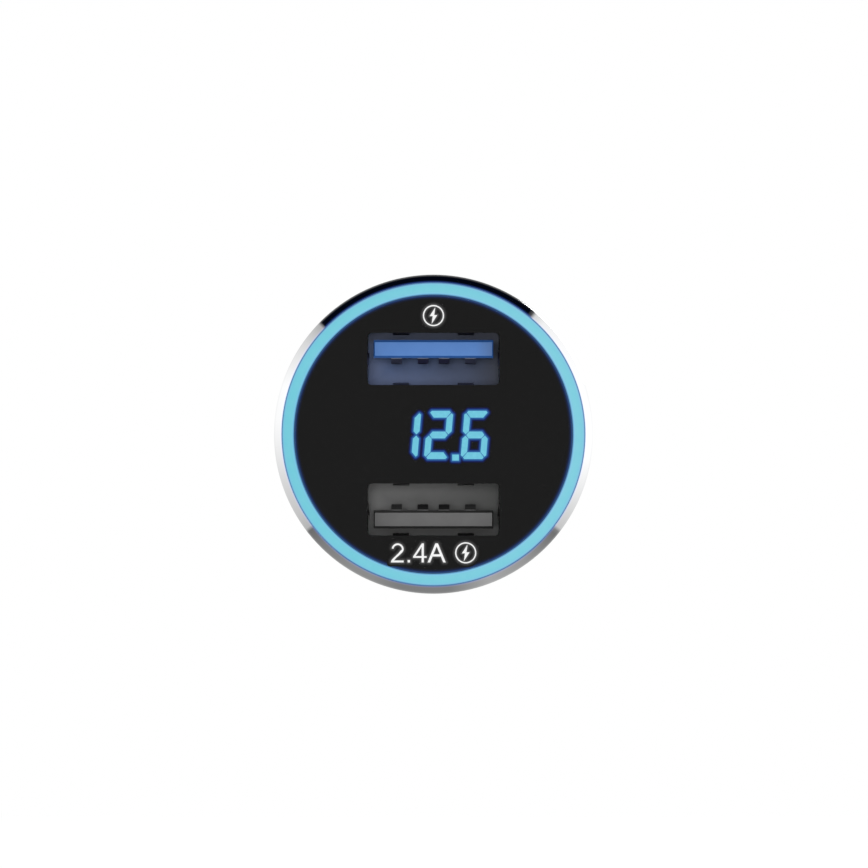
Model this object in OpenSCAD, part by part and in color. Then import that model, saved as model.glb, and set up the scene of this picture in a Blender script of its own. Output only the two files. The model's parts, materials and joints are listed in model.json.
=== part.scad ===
// Car charger plug for a 12 V accessory socket, with two USB ports, a voltage display and a ring light.
// Every piece is drawn with the face towards you: X right, Y up, Z out of the face, and Z = 0 on the
// stop face that meets the socket's rim. facing_front() turns it, so that the face looks along -Y
// and the contact tip points along +Y.

/* [Face] */
// Distance between the centres of the two ports
port_pitch = 14.26; // [14:0.02:15]
// Panel left between a port's corner and the ring light
port_rim = 1.7; // [1.5:0.05:2.4]
// Visible width of the ring light
ring_w = 1.15; // [0.9:0.05:1.5]
// Thickness of the smoked face panel
panel_t = 1; // [0.8:0.1:1.4]
// How far the face lies behind the sleeve's front edge
face_sink = 0.1; // [0.04:0.02:0.3]
// Corner radius of a port window
window_r = 0.45; // [0.2:0.05:0.8]
// Thickness of the chassis plate behind the panel
chassis_t = 2; // [1.5:0.1:3]
// Wall of the chassis skirt inside the ring light
skirt_wall = 0.7; // [0.5:0.05:0.9]

/* [Head] */
// Width of the sleeve's front bevel, seen from the front
bevel_w = 0.75; // [0.7:0.05:1.2]
// Wall of the polished sleeve
sleeve_wall = 0.55; // [0.45:0.05:0.6]
// Thickness of the sleeve's front lip
lip_t = 0.9; // [0.8:0.05:1.5]
// Height of the black shoulder between the stop face and the sleeve
shoulder_len = 4.6; // [4.2:0.1:5.4]
// Thickness of the floor behind the stop face
floor_t = 1.4; // [1:0.1:1.8]
// Height of the ledge that carries the port board above that floor
ledge_h = 2.8; // [2.4:0.1:4]

/* [USB port] */
// Inside width of a port shell
port_w = 12.5; // [12.4:0.05:12.6]
// Inside height of a port shell
port_h = 5.12; // [5:0.02:5.2]
// Sheet thickness of a port shell
shell_t = 0.3; // [0.25:0.01:0.35]
// Depth of a port from its mouth to its base block
port_depth = 8.9; // [8.7:0.1:10]
// Thickness of the base block
port_base_t = 1.6; // [1.2:0.1:2.4]
// Gap on each side of the tongue
tongue_side = 0.6; // [0.45:0.05:0.7]
// Thickness of the tongue
tongue_t = 1.72; // [1.6:0.02:1.9]
// Height of the tongue's middle above the port's middle
tongue_rise = 0.94; // [0.8:0.02:1]
// Set-back of the tongue from the shell's mouth
tongue_back = 0.4; // [0.2:0.1:0.8]
// Chamfer along the top and bottom of the tongue's front
tongue_chamfer = 0.22; // [0.1:0.02:0.4]
// Chamfer at the two ends of the tongue's front
end_chamfer = 0.1; // [0.06:0.02:0.3]
// Width of a contact strip
contact_w = 1; // [0.8:0.05:1.1]
// Thickness of a contact strip
contact_t = 0.2; // [0.15:0.01:0.22]
// How far a contact strip bows out of the tongue
contact_bow = 0.56; // [0.3:0.02:0.7]
// Width of a spring finger in a long wall
finger_w = 1.54; // [1.2:0.02:1.8]
// How far a spring finger in a long wall bows into the port
finger_bow = 0.3; // [0.1:0.02:0.4]
// How far a spring finger in a short wall bows into the port
side_finger_bow = 0.17; // [0.1:0.01:0.3]

/* [Display] */
// Height of a digit
digit_h = 4.56; // [4:0.02:4.8]
// Width of a digit
digit_w = 2.4; // [2.2:0.01:2.6]
// Width of a digit's upright segments
segment_w = 0.565; // [0.45:0.005:0.7]
// Height of a digit's level segments
bar_h = 0.64; // [0.5:0.01:0.75]
// Lean of the digits to the right, in degrees
digit_lean = 5; // [0:0.2:8]
// Gap between the display block and a port shell
display_gap = 0.77; // [0.6:0.01:1.2]
// Width of the display block
display_w = 12.6; // [12.2:0.1:13.4]
// Depth of the display block
display_t = 5; // [4.4:0.1:5.4]

/* [Plug barrel] */
// Diameter of the band that centres the plug in the socket
seat_d = 20.8; // [20.6:0.05:20.9]
// Length of that band from the stop face
seat_len = 9; // [7:0.5:10]
// How much smaller the barrel is behind the band, on the radius
barrel_step = 0.4; // [0.3:0.05:0.6]
// Stop face to the shoulder under the nose ring
barrel_len = 33; // [32:0.5:38]
// Wall of the barrel
barrel_wall = 1.6; // [1.4:0.05:1.8]
// How much smaller the neck under the nose ring is, on the radius
neck_step = 1.8; // [1.5:0.1:2.4]
// Length of that neck
neck_len = 3; // [2.5:0.1:4]
// Number of guide ribs on the top and on the bottom of the barrel
rib_count = 3; // [1:1:5]

/* [Contacts] */
// Diameter of the centre contact's pin
pin_d = 6.5; // [6:0.1:7]
// Width of the flange round the pin
flange_w = 1.75; // [1.4:0.05:2]
// How far the pin stands out of the nose ring
pin_reach = 3.8; // [3:0.1:5]
// Wire diameter of the contact spring
wire_d = 0.5; // [0.4:0.05:0.6]
// Width of a side contact
leaf_w = 5; // [4:0.1:5.4]
// Sheet thickness of a side contact
leaf_t = 0.4; // [0.3:0.02:0.44]
// How far a side contact stands out of the barrel
leaf_proud = 1; // [0.7:0.05:1.2]
// Barrel left between the centring band and a side contact's slot
slot_gap = 4.4; // [3:0.1:6]

/* [Boards] */
// Thickness of the round lamp board
lamp_board_t = 1; // [0.8:0.1:1.2]
// Thickness of the round port board
port_board_t = 1.2; // [0.8:0.1:1.6]
// Thickness of the long power board
power_board_t = 1.2; // [0.8:0.1:1.6]
// Number of lamps under the ring light
lamp_count = 8; // [4:1:8]
// Length of the input capacitor
input_can_len = 9; // [7:0.5:10]
// Length of the output capacitor
output_can_len = 7; // [5:0.5:7]
// Side of the square coil
coil_size = 6.6; // [5:0.1:7]

/* [Hidden] */
SIDES = ["upper", "lower"];
HANDS = ["left", "right"];
strip_places = [-3.5, -1, 1, 3.5];
STRIPS = [for (i = [1:len(strip_places)]) i];
LAMPS = [for (i = [1:lamp_count]) i];
$fn = 96;

// Clearance between pieces that are fitted into each other and stay there
seat_gap = 0.05;
// Clearance round pieces that only pass through a window or a hole
pass_gap = 0.1;
// Clearance on the radius between a moving piece and what guides it
run_gap = 0.06;
// Overlap that joins two shapes of one piece, and the overshoot of a cut
eps = 0.02;
over = 1;

// Ports: the panel's windows hide the shells' edges by a small lip
port_y = port_pitch / 2;
window_lip = 0.09;
window_w = port_w;
window_h = port_h - 2 * window_lip;
shell_w = port_w + 2 * shell_t;
shell_h = port_h + 2 * shell_t;
shell_corner = 0.4;
shell_back = 0.6;

// Heights in the head, built up from the stop face
ledge_z = floor_t + ledge_h;
port_board_front_z = ledge_z + port_board_t;
base_front_z = port_board_front_z + port_base_t;
panel_back_z = base_front_z + port_depth;
face_z = panel_back_z + panel_t;
head_len = face_z + face_sink;
chassis_back_z = panel_back_z - chassis_t;
lamp_front_z = panel_back_z - display_t;
lamp_back_z = lamp_front_z - lamp_board_t;

// Radii in the head, built up from the ports' corners
panel_r = norm([window_w / 2, port_y + window_h / 2]) + port_rim;
ring_in_r = panel_r + seat_gap;
lip_r = ring_in_r + ring_w;
head_r = lip_r + bevel_w;
sleeve_in_r = head_r - sleeve_wall;
ring_flange_r = sleeve_in_r - seat_gap;
skirt_r = ring_in_r - pass_gap;
spigot_wall = 0.95;
cup_r = ring_flange_r - spigot_wall;
ledge_w = 1.3;
ledge_r = cup_r - ledge_w;
sleeve_edge = 0.15;
shoulder_band = 0.9;
shoulder_sink = 0.5;

screw_r = 0.8;
screw_head_r = 1.5;
screw_head_t = 0.9;
screw_tip = 0.6;
pillar_r = screw_r + 0.8;
pillar_gap = 0.3;
fixing_x = ledge_r - pillar_gap - pillar_r;
peg_r = 0.8;
peg_tail = 0.6;

lamp_mean_r = (ring_in_r + ring_flange_r) / 2;
lamp_size = [0.8, 1.6, 0.6];
lamp_body_h = 0.42;

// Ports in depth
tongue_w = port_w - 2 * tongue_side;
tongue_tip_z = panel_back_z - tongue_back;
groove_d = contact_t + pass_gap;
groove_y = tongue_rise - tongue_t / 2;
groove_stop = 0.6;
strip_y = groove_y + groove_d - contact_t / 2;
strip_bow_len = 2.8;
finger_t = 0.2;
finger_x = 3.07;
finger_len = 5.6;
finger_lip = 0.7;
side_finger_w = finger_w - 0.4;
leg_w = 1.6;
leg_reach = 0.8;

// Display
digit_places = [-2.545, 0.485, 3.955];
digit_y = -0.07;
dot_place = [1.605, -2.14];
dot_size = [0.63, 0.57];
digit_chamfer = 0.33;
segment_gap = 0.03;
cell_depth = 1.2;
display_x = 0.9;
display_h = port_pitch - shell_h - 2 * display_gap;
display_pin_r = 0.22;
display_pin_pitch = 2;
display_pin_inset = 0.8;
display_pin_tail = 0.8;

// Barrel
seat_r = seat_d / 2;
barrel_r = seat_r - barrel_step;
bore_r = barrel_r - barrel_wall;
step_h = 0.4;
end_wall = 2;
neck_r = barrel_r - neck_step;
bore_end_z = -barrel_len + end_wall;
neck_end_z = -barrel_len - neck_len;
rib_w = 0.9;
rib_h = barrel_step - 0.06;
rib_root = 0.5;
rib_spread = 26;
rib_back = 1.2;

// Nose ring and centre contact
pin_r = pin_d / 2;
flange_r = pin_r + flange_w;
flange_t = 1.2;
neck_bore_r = flange_r + 0.35;
nose_r = barrel_r - 0.3;
nose_band = 2.6;
nose_wall = 3.4;
nose_tip_z = neck_end_z - nose_wall;
nose_tip_r = pin_r + 2.1;
nose_edge = 0.3;
knurl_count = 24;
knurl_r = 0.3;
flange_front_z = neck_end_z + eps;
flange_back_z = flange_front_z + flange_t;
dome_r = 1.2 * pin_r;
pin_tip_z = nose_tip_z - pin_reach;
spring_r = pin_r - 0.05;
spring_turns = 4.5;
stem_r = spring_r - wire_d / 2 - 0.55;
stem_len = 1.5;

// Side contacts, from the hook near the nose to the tail behind the slot's head
hook_in_r = 0.68;
hook_out_r = hook_in_r + leaf_t + 2 * eps;
hook_bar_r = hook_in_r - run_gap - eps;
hook_sink = 0.22;
hook_open = 110;
hook_x = barrel_r - hook_sink - hook_out_r;
hook_z = bore_end_z + 1.4;
leaf_fall = 4.2;
leaf_tail = 1.6;
slot_w = leaf_w + 1;
slot_head_z = -seat_len - step_h - slot_gap;
slot_nose_z = hook_z - hook_out_r - 0.22;
slot_in = 2.4;
bar_len = slot_w + 0.6;
leaf_top_z = slot_head_z - 0.4;
leaf_crown_z = leaf_top_z - leaf_fall;
leaf_rise = leaf_crown_z - hook_z;
leaf_end_z = leaf_top_z + leaf_tail;
leaf_reach = barrel_r + leaf_proud;
leaf_tail_gap = 0.12;
leaf_tail_x = sqrt(pow(bore_r, 2) - pow(leaf_w / 2, 2)) - leaf_tail_gap - leaf_t / 2;
leaf_room = 1.85;

tab_t = 0.35;
tab_w = 3;
tab_share = 0.18;
tab_rise = 0.62;
tab_len = 2.4;
cradle_in = hook_out_r + run_gap;
cradle_out = cradle_in + tab_t;

// Power board, with its parts set one after the other from the nose end
board_y = power_board_t / 2;
board_wide = min(bore_r - 0.6, fixing_x - pillar_r - 0.35);
board_narrow = leaf_tail_x - leaf_t / 2 - leaf_room;
tab_lap = board_narrow * tab_share;
board_step_z = leaf_end_z + 1.1;
board_end_z = hook_z + 2.1;
board_end_x = 3;
plate_t = 0.8;
plate_share = 0.74;
plate_r = board_narrow * plate_share;
plate_back_z = board_end_z - plate_t;
boss_r = stem_r - 0.1;
boss_h = 0.8;
spring_len = plate_back_z - flange_back_z;

part_gap = 0.4;
fuse = [3.2, 0.8, 1.6];
rectifier_body = [4.2, 2, 2.6];
rectifier_lead = [1, 0.9, 1.6];
coil_h = 3.4;
coil_groove = 0.8;
coil_in_r = 1.8;
coil_out_r = 2.7;
chip_body = [3.9, 1.5, 4.9];
chip_lead = [1, 0.2, 0.4];
chip_pitch = 1.27;
fuse_z = board_end_z + 1.7 + fuse[2] / 2;
rectifier_z = fuse_z + fuse[2] / 2 + part_gap + rectifier_body[2] / 2;
coil_z = rectifier_z + rectifier_body[2] / 2 + part_gap + coil_size / 2;
charge_z = board_end_z + 2 + chip_body[2] / 2;
converter_z = charge_z + chip_body[2] + 4 * part_gap;

lead_r = 0.25;
lead_pitch = 2.5;
lead_run = 1;
lead_tail = 0.4;
can_edge = 0.3;
can_groove = 0.25;
input_can_d = bore_r - board_y - 1.5;
output_can_d = bore_r - board_y - 2.8;
input_can_z = coil_z + coil_size / 2 + part_gap + lead_run;
cans_top_z = input_can_z + input_can_len;

header = [8.4, 2, 1.5];
link_places = [-3, -1, 1, 3];
link_r = 0.3;
link_tail = 0.8;
link_lead = 0.2;
board_tab = [header[0] / 2 - 0.2, header[0] / 2 + 2.8];
board_notch = [link_places[3] + 0.7, 1.2];

// Turns the plug from the drawing's frame into its own: the face looks along -Y
module facing_front() {
    rotate([90, 0, 0]) children();
}

// A solid of revolution about the plug's axis, from a profile of [radius, Z] points
module turned() {
    rotate_extrude() children();
}

// A round disc or a block on the plug's axis, between two heights
module disc(r, from, to) {
    translate([0, 0, from]) cylinder(r = r, h = to - from);
}

module block(w, h, from, to) {
    translate([-w / 2, -h / 2, from]) cube([w, h, to - from]);
}

module raised(from, to) {
    translate([0, 0, from]) linear_extrude(to - from) children();
}

// An outline drawn in X and Z, given a width along Y
module along_y(w) {
    rotate([90, 0, 0]) linear_extrude(w, center = true) children();
}

// An outline drawn in Z and Y, given a width along X
module along_x(w) {
    rotate([0, -90, 0]) linear_extrude(w, center = true) children();
}

module rounded_rect(w, h, r) {
    square([w - 2 * r, h], center = true);
    square([w, h - 2 * r], center = true);
    for (sx = [-1, 1], sy = [-1, 1])
        translate([sx * (w / 2 - r), sy * (h / 2 - r)]) circle(r);
}

module both_sides(x) {
    for (s = [-1, 1]) translate([s * x, 0, 0]) children();
}

// The lower port is the upper one mirrored, so that both tongues lie away from the display
module at_port(side) {
    mirror([0, side == "lower" ? 1 : 0, 0]) translate([0, port_y, 0]) children();
}

module at_both_ports() {
    for (s = SIDES) at_port(s) children();
}

module at_hand(hand) {
    mirror([hand == "left" ? 1 : 0, 0, 0]) children();
}

// Outline of a bent strip of sheet: the path, moved by half the thickness to each side
function heading(path, i) =
    let (a = path[max(i - 1, 0)], b = path[min(i + 1, len(path) - 1)]) (b - a) / norm(b - a);
function beside(path, d) = [
    for (i = [0:len(path) - 1])
        let (h = heading(path, i)) path[i] + d * [-h[1], h[0]]
];
function reversed(list) = [for (i = [len(list) - 1:-1:0]) list[i]];
function strip(path, t) = concat(beside(path, t / 2), reversed(beside(path, -t / 2)));

// A smooth rise from 0 to 1, level at both ends
function eased(u) = (1 - cos(180 * u)) / 2;

// HEAD

// Polished tube whose front edge is bevelled and turned in over the ring light
module head_sleeve() {
    color("silver") facing_front() turned() polygon([
        [lip_r, head_len - lip_t],
        [lip_r, head_len],
        [head_r, head_len - bevel_w],
        [head_r, shoulder_len + sleeve_edge],
        [head_r - sleeve_edge, shoulder_len],
        [sleeve_in_r, shoulder_len],
        [sleeve_in_r, head_len - lip_t],
    ]);
}

// Light guide with a step under the sleeve's lip and a pocket over each lamp
module light_ring() {
    step_z = head_len - lip_t - seat_gap;
    color("skyblue") facing_front() difference() {
        turned() polygon([
            [ring_in_r, lamp_front_z],
            [ring_flange_r, lamp_front_z],
            [ring_flange_r, step_z],
            [lip_r - seat_gap, step_z],
            [lip_r - seat_gap, face_z],
            [ring_in_r, face_z],
        ]);
        for (i = LAMPS) at_lamp(i) translate([0, 0, -over])
            block(2 * ring_w, lamp_size[1] + 2 * pass_gap, 0, over + lamp_size[2] + pass_gap);
    }
}

module at_lamp(i) {
    rotate((i - 0.5) * 360 / lamp_count) translate([lamp_mean_r, 0, lamp_front_z]) children();
}

// Smoked panel that covers the whole face, with a window for each port
module face_panel() {
    color("#1e1e1e") facing_front() difference() {
        disc(panel_r, panel_back_z, face_z);
        at_both_ports() raised(panel_back_z - over, face_z + over)
            rounded_rect(window_w, window_h, window_r);
    }
}

// Moulded carrier behind the panel: windows, a skirt that stops stray light, and two pegs
module front_chassis() {
    color("#161616") facing_front() {
        difference() {
            disc(skirt_r, lamp_front_z, panel_back_z);
            disc(skirt_r - skirt_wall, lamp_front_z - over, chassis_back_z);
            at_both_ports() raised(chassis_back_z - over, panel_back_z + over)
                rounded_rect(shell_w + 2 * pass_gap, shell_h + 2 * pass_gap, shell_corner + shell_t);
            translate([display_x, 0, 0]) block(
                display_w + 2 * pass_gap, display_h + 2 * pass_gap,
                chassis_back_z - over, panel_back_z + over
            );
        }
        both_sides(fixing_x) disc(peg_r, lamp_back_z - peg_tail, chassis_back_z + eps);
    }
}

// DISPLAY

// Half width and half height of a digit, and the inner corner of its segments
dw = digit_w / 2;
dh = digit_h / 2;
dx = dw - segment_w;
dy = dh - bar_h;
cut = digit_chamfer;

// Segment outlines for the right half or the top of a digit; the others are mirror images
top_segment = [
    [-dw + cut + segment_gap, dh],
    [dw - cut - segment_gap, dh],
    [dw - cut / 2 - 2 * segment_gap, dh - cut / 2],
    [dx - segment_gap, dy],
    [-dx + segment_gap, dy],
    [-dw + cut / 2 + 2 * segment_gap, dh - cut / 2],
];
side_segment = [
    [dw - cut / 2, dh - cut / 2 - 2 * segment_gap],
    [dw, dh - cut - segment_gap],
    [dw, bar_h / 2 + segment_gap],
    [dw - segment_w / 2, 2 * segment_gap],
    [dx, bar_h / 2 + segment_gap],
    [dx, dy - segment_gap],
];
middle_segment = [
    [-dw + segment_w / 2 + 2 * segment_gap, 0],
    [-dx + segment_gap, bar_h / 2],
    [dx - segment_gap, bar_h / 2],
    [dw - segment_w / 2 - 2 * segment_gap, 0],
    [dx - segment_gap, -bar_h / 2],
    [-dx + segment_gap, -bar_h / 2],
];

function leaned(points) = [for (p = points) [p[0] + p[1] * tan(digit_lean), p[1]]];
function flipped(points, sx, sy) = [for (p = points) [sx * p[0], sy * p[1]]];

// All light cells of the three digits, with a dot after the second and the third
module digit_cells() {
    for (x = digit_places) translate([x, digit_y]) {
        polygon(leaned(middle_segment));
        for (s = [-1, 1]) polygon(leaned(flipped(top_segment, 1, s)));
        for (sx = [-1, 1], sy = [-1, 1]) polygon(leaned(flipped(side_segment, sx, sy)));
    }
    for (i = [1, 2])
        translate([digit_places[i], digit_y] + dot_place) square(dot_size, center = true);
}

module display_block() {
    color("#262626") facing_front() difference() {
        translate([display_x, 0, 0]) block(display_w, display_h, lamp_front_z, panel_back_z);
        raised(panel_back_z - cell_depth, panel_back_z + over) digit_cells();
    }
}

module display_cells() {
    color("#70c8de") facing_front() raised(panel_back_z - cell_depth, panel_back_z) digit_cells();
}

module at_display_pins() {
    for (i = [-2:2], s = [-1, 1])
        translate([display_x + i * display_pin_pitch, s * (display_h / 2 - display_pin_inset), 0])
            children();
}

module display_pins() {
    color("gainsboro") facing_front() at_display_pins()
        disc(display_pin_r, lamp_back_z - display_pin_tail, lamp_front_z);
}

// LAMP BOARD

module lamp_board() {
    color("darkgreen") facing_front() difference() {
        disc(ring_flange_r, lamp_back_z, lamp_front_z);
        at_both_ports() block(
            shell_w + 4 * pass_gap, shell_h + 4 * pass_gap,
            lamp_back_z - over, lamp_front_z + over
        );
        at_display_pins() disc(display_pin_r + pass_gap, lamp_back_z - over, lamp_front_z + over);
        for (x = link_places)
            translate([x, 0, 0]) disc(link_r + pass_gap, lamp_back_z - over, lamp_front_z + over);
        both_sides(fixing_x) disc(peg_r + seat_gap, lamp_back_z - over, lamp_front_z + over);
    }
}

// Surface-mounted lamp with a lens pad on its top
module ring_lamp(i) {
    color("lightyellow") facing_front() at_lamp(i) {
        block(lamp_size[0], lamp_size[1], 0, lamp_body_h);
        block(lamp_size[0], lamp_size[1] / 2, 0, lamp_size[2]);
    }
}

// USB PORTS

// Spring finger cut from the wall: it bows inwards and ends just behind the mouth
function finger_path(wall, bow) = concat(
    [[panel_back_z - finger_lip - finger_len - 0.1, wall + finger_t / 2]],
    [for (i = [0:12])
        let (u = i / 12)
            [panel_back_z - finger_lip - finger_len * (1 - u),
             wall + finger_t / 2 - bow * sin(180 * pow(u, 1.4))]]
);

module finger(w, wall, bow) {
    along_x(w) polygon(strip(finger_path(wall, bow), finger_t));
}

module finger_window(w) {
    from = panel_back_z - finger_lip - finger_len;
    translate([-w / 2, -2 * shell_t, from]) cube([w, 4 * shell_t, finger_len + pass_gap]);
}

// Folded sheet shell with four long-side fingers, two short-side ones, and solder legs
module port_shell(side) {
    color("darkgray") facing_front() at_port(side) {
        difference() {
            raised(port_board_front_z, panel_back_z)
                rounded_rect(shell_w, shell_h, shell_corner + shell_t);
            raised(port_board_front_z - over, panel_back_z + over)
                rounded_rect(port_w, port_h, shell_corner);
            for (x = [-1, 1], y = [-1, 1])
                translate([x * finger_x, y * (port_h + shell_t) / 2, 0])
                    finger_window(finger_w + 2 * pass_gap);
            for (x = [-1, 1])
                translate([x * (port_w + shell_t) / 2, 0, 0]) rotate(90)
                    finger_window(side_finger_w + 2 * pass_gap);
        }
        for (x = [-1, 1], y = [0, 1])
            translate([x * finger_x, 0, 0]) mirror([0, y, 0]) finger(finger_w, port_h / 2, finger_bow);
        for (x = [0, 1])
            mirror([x, 0, 0]) rotate(-90) finger(side_finger_w, port_w / 2, side_finger_bow);
        for (x = [-1, 1])
            translate([x * (port_w + shell_t) / 2, 0, 0])
                block(shell_t, leg_w, ledge_z - leg_reach, port_board_front_z + eps);
    }
}

module at_strips() {
    for (x = strip_places) translate([x, 0, 0]) children();
}

// Moulded base block and tongue, with a chamfered front and a groove for each contact strip
module port_tongue(side) {
    fit_w = port_w - 2 * seat_gap;
    fit_h = port_h - 2 * seat_gap;
    half = tongue_w / 2;
    tongue_low = tongue_rise - tongue_t / 2;
    tongue_high = tongue_rise + tongue_t / 2;
    c = tongue_chamfer;
    color(side == "upper" ? "#3f6fc0" : "#5c5c5c") facing_front() at_port(side) difference() {
        union() {
            raised(port_board_front_z, base_front_z)
                rounded_rect(fit_w, fit_h, shell_corner - seat_gap);
            intersection() {
                along_y(2 * port_h) polygon([
                    [-half, base_front_z - eps],
                    [-half, tongue_tip_z - end_chamfer],
                    [-half + end_chamfer, tongue_tip_z],
                    [half - end_chamfer, tongue_tip_z],
                    [half, tongue_tip_z - end_chamfer],
                    [half, base_front_z - eps],
                ]);
                along_x(2 * port_w) polygon([
                    [base_front_z - eps, tongue_low],
                    [tongue_tip_z - c, tongue_low],
                    [tongue_tip_z, tongue_low + c],
                    [tongue_tip_z, tongue_high - c],
                    [tongue_tip_z - c, tongue_high],
                    [base_front_z - eps, tongue_high],
                ]);
            }
        }
        at_strips() translate([0, groove_y, 0]) {
            w = contact_w + pass_gap;
            translate([-w / 2, 0, port_board_front_z - over])
                cube([w, groove_d, tongue_tip_z - groove_stop - port_board_front_z + over]);
            translate([-w / 2, -over, base_front_z])
                cube([w, over + eps, tongue_tip_z - groove_stop - base_front_z]);
        }
    }
}

// Contact strip: a straight tail through the port board, and a bow near the tongue's front
module port_contact(side, i) {
    bow_from = tongue_tip_z - groove_stop - 2 * pass_gap - strip_bow_len;
    path = concat(
        [[ledge_z - leg_reach, strip_y]],
        [for (k = [0:8])
            let (u = k / 8)
                [bow_from + u * strip_bow_len,
                 strip_y - (contact_bow + groove_d - contact_t) * eased(1 - abs(2 * u - 1))]]
    );
    color("goldenrod") facing_front() at_port(side)
        translate([strip_places[i - 1], 0, 0]) along_x(contact_w) polygon(strip(path, contact_t));
}

// PORT BOARD AND ITS FIXINGS

module port_board() {
    through = [ledge_z - over, port_board_front_z + over];
    color("darkgreen") facing_front() difference() {
        disc(cup_r - seat_gap, ledge_z, port_board_front_z);
        at_both_ports() {
            both_sides((port_w + shell_t) / 2)
                block(shell_t + 2 * pass_gap, leg_w + 2 * pass_gap, through[0], through[1]);
            at_strips() translate([0, strip_y, 0])
                block(contact_w + 2 * pass_gap, contact_t + 2 * pass_gap, through[0], through[1]);
        }
        for (x = link_places) translate([x, 0, 0]) disc(link_r + seat_gap, through[0], through[1]);
        both_sides((board_tab[0] + board_tab[1]) / 2) block(
            board_tab[1] - board_tab[0] + 2 * seat_gap, power_board_t + 2 * seat_gap,
            through[0], through[1]
        );
        both_sides(fixing_x) disc(screw_r + pass_gap, through[0], through[1]);
    }
}

// Two pan-head screws with a cross recess
module board_screws() {
    color("gainsboro") facing_front() both_sides(fixing_x) difference() {
        union() {
            disc(screw_r - seat_gap, floor_t + screw_tip, port_board_front_z + eps);
            disc(screw_head_r, port_board_front_z, port_board_front_z + screw_head_t);
        }
        for (a = [0, 90]) rotate(a) block(
            screw_head_r + 0.2, screw_r / 2,
            port_board_front_z + screw_head_t / 2, port_board_front_z + screw_head_t + over
        );
    }
}

module link_header() {
    color("#1a1a1a") facing_front() difference() {
        block(header[0], header[1], port_board_front_z, port_board_front_z + header[2]);
        for (x = link_places) translate([x, 0, 0])
            disc(link_r + seat_gap, port_board_front_z - over, port_board_front_z + header[2] + over);
    }
}

module link_pins() {
    color("gold") facing_front() for (x = link_places)
        translate([x, 0, 0]) disc(link_r, ledge_z - link_tail, lamp_front_z - link_lead);
}

// POWER BOARD

// Half of the board's outline in X and Z: tabs through the port board, wide in the head,
// narrow between the side contacts, and an end that meets the spring plate
board_half = [
    [board_notch[0], ledge_z - board_notch[1]],
    [board_notch[0], ledge_z],
    [board_tab[0], ledge_z],
    [board_tab[0], port_board_front_z],
    [board_tab[1], port_board_front_z],
    [board_tab[1], ledge_z],
    [board_wide, ledge_z],
    [board_wide, board_step_z],
    [board_narrow, board_step_z - 1],
    [board_narrow, board_end_z + 1],
    [board_end_x, board_end_z + 1],
    [board_end_x, board_end_z],
];

module power_board() {
    color("darkgreen") facing_front() difference() {
        along_y(power_board_t)
            polygon(concat(board_half, reversed(flipped(board_half, -1, 1))));
        for (z = [input_can_z - lead_run, cans_top_z + lead_run]) both_sides(lead_pitch / 2)
            translate([0, 0, z]) rotate([90, 0, 0])
                cylinder(r = lead_r + seat_gap, h = power_board_t + 2 * over, center = true);
    }
}

// Cylindrical can whose rubber end is at Z = 0, with a groove round it. Two leads run out of
// that end and down through the board, which lies at Y = 0 to -power_board_t
module capacitor(d, len) {
    e = can_edge;
    translate([0, d / 2, 0]) {
        turned() polygon([
            [0, 0],
            [d / 2 - e, 0],
            [d / 2, e],
            [d / 2, 3 * e],
            [d / 2 - can_groove, 4 * e],
            [d / 2, 5 * e],
            [d / 2, len - e],
            [d / 2 - e, len],
            [0, len],
        ]);
        both_sides(lead_pitch / 2) translate([0, 0, -lead_run]) {
            cylinder(r = lead_r, h = lead_run + eps, $fn = 24);
            sphere(lead_r, $fn = 24);
            rotate([90, 0, 0])
                cylinder(r = lead_r, h = d / 2 + power_board_t + lead_tail, $fn = 24);
        }
    }
}

module input_capacitor() {
    color("#3b4d8c") facing_front() translate([0, board_y, input_can_z])
        capacitor(input_can_d, input_can_len);
}

// It lies under the board, with its leads at the head's end
module output_capacitor() {
    color("#3b4d8c") facing_front() translate([0, -board_y, cans_top_z]) rotate([180, 0, 0])
        capacitor(output_can_d, output_can_len);
}

// Shielded coil: a square ferrite tray with a round core in its middle
module inductor() {
    bed = coil_h - coil_groove;
    color("dimgray") facing_front() translate([0, board_y, coil_z]) rotate([-90, 0, 0])
        difference() {
            raised(0, coil_h) rounded_rect(coil_size, coil_size, 1);
            difference() {
                disc(coil_out_r, bed, coil_h + over);
                disc(coil_in_r, bed - over, coil_h + 2 * over);
            }
        }
}

// Moulded chip under the board, with four legs on each long side
module chip(z) {
    color("#202020") facing_front() translate([0, -board_y, z]) mirror([0, 1, 0]) {
        translate([-chip_body[0] / 2, 0.15, -chip_body[2] / 2]) cube(chip_body);
        for (s = [0, 1], i = [-1.5:1.5]) mirror([s, 0, 0])
            translate([chip_body[0] / 2, 0, i * chip_pitch - chip_lead[2] / 2]) {
                translate([-0.1, 0, 0]) cube(chip_lead);
                translate([-0.1, 0, 0])
                    cube([chip_lead[0] / 2, chip_body[1] / 2, chip_lead[2]]);
            }
    }
}

module converter_chip() {
    chip(converter_z);
}

module charge_chip() {
    chip(charge_z);
}

module rectifier() {
    body = rectifier_body;
    lead = rectifier_lead;
    color("#202020") facing_front() translate([0, board_y, rectifier_z]) {
        translate([-body[0] / 2, 0.2, -body[2] / 2]) cube(body);
        both_sides(body[0] / 2) translate([-lead[0] / 2, 0, -lead[2] / 2]) cube(lead);
    }
}

module surface_fuse() {
    color("ivory") facing_front() translate([0, board_y, fuse_z])
        translate([-fuse[0] / 2, 0, -fuse[2] / 2]) cube(fuse);
}

// PLUG BARREL

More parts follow.
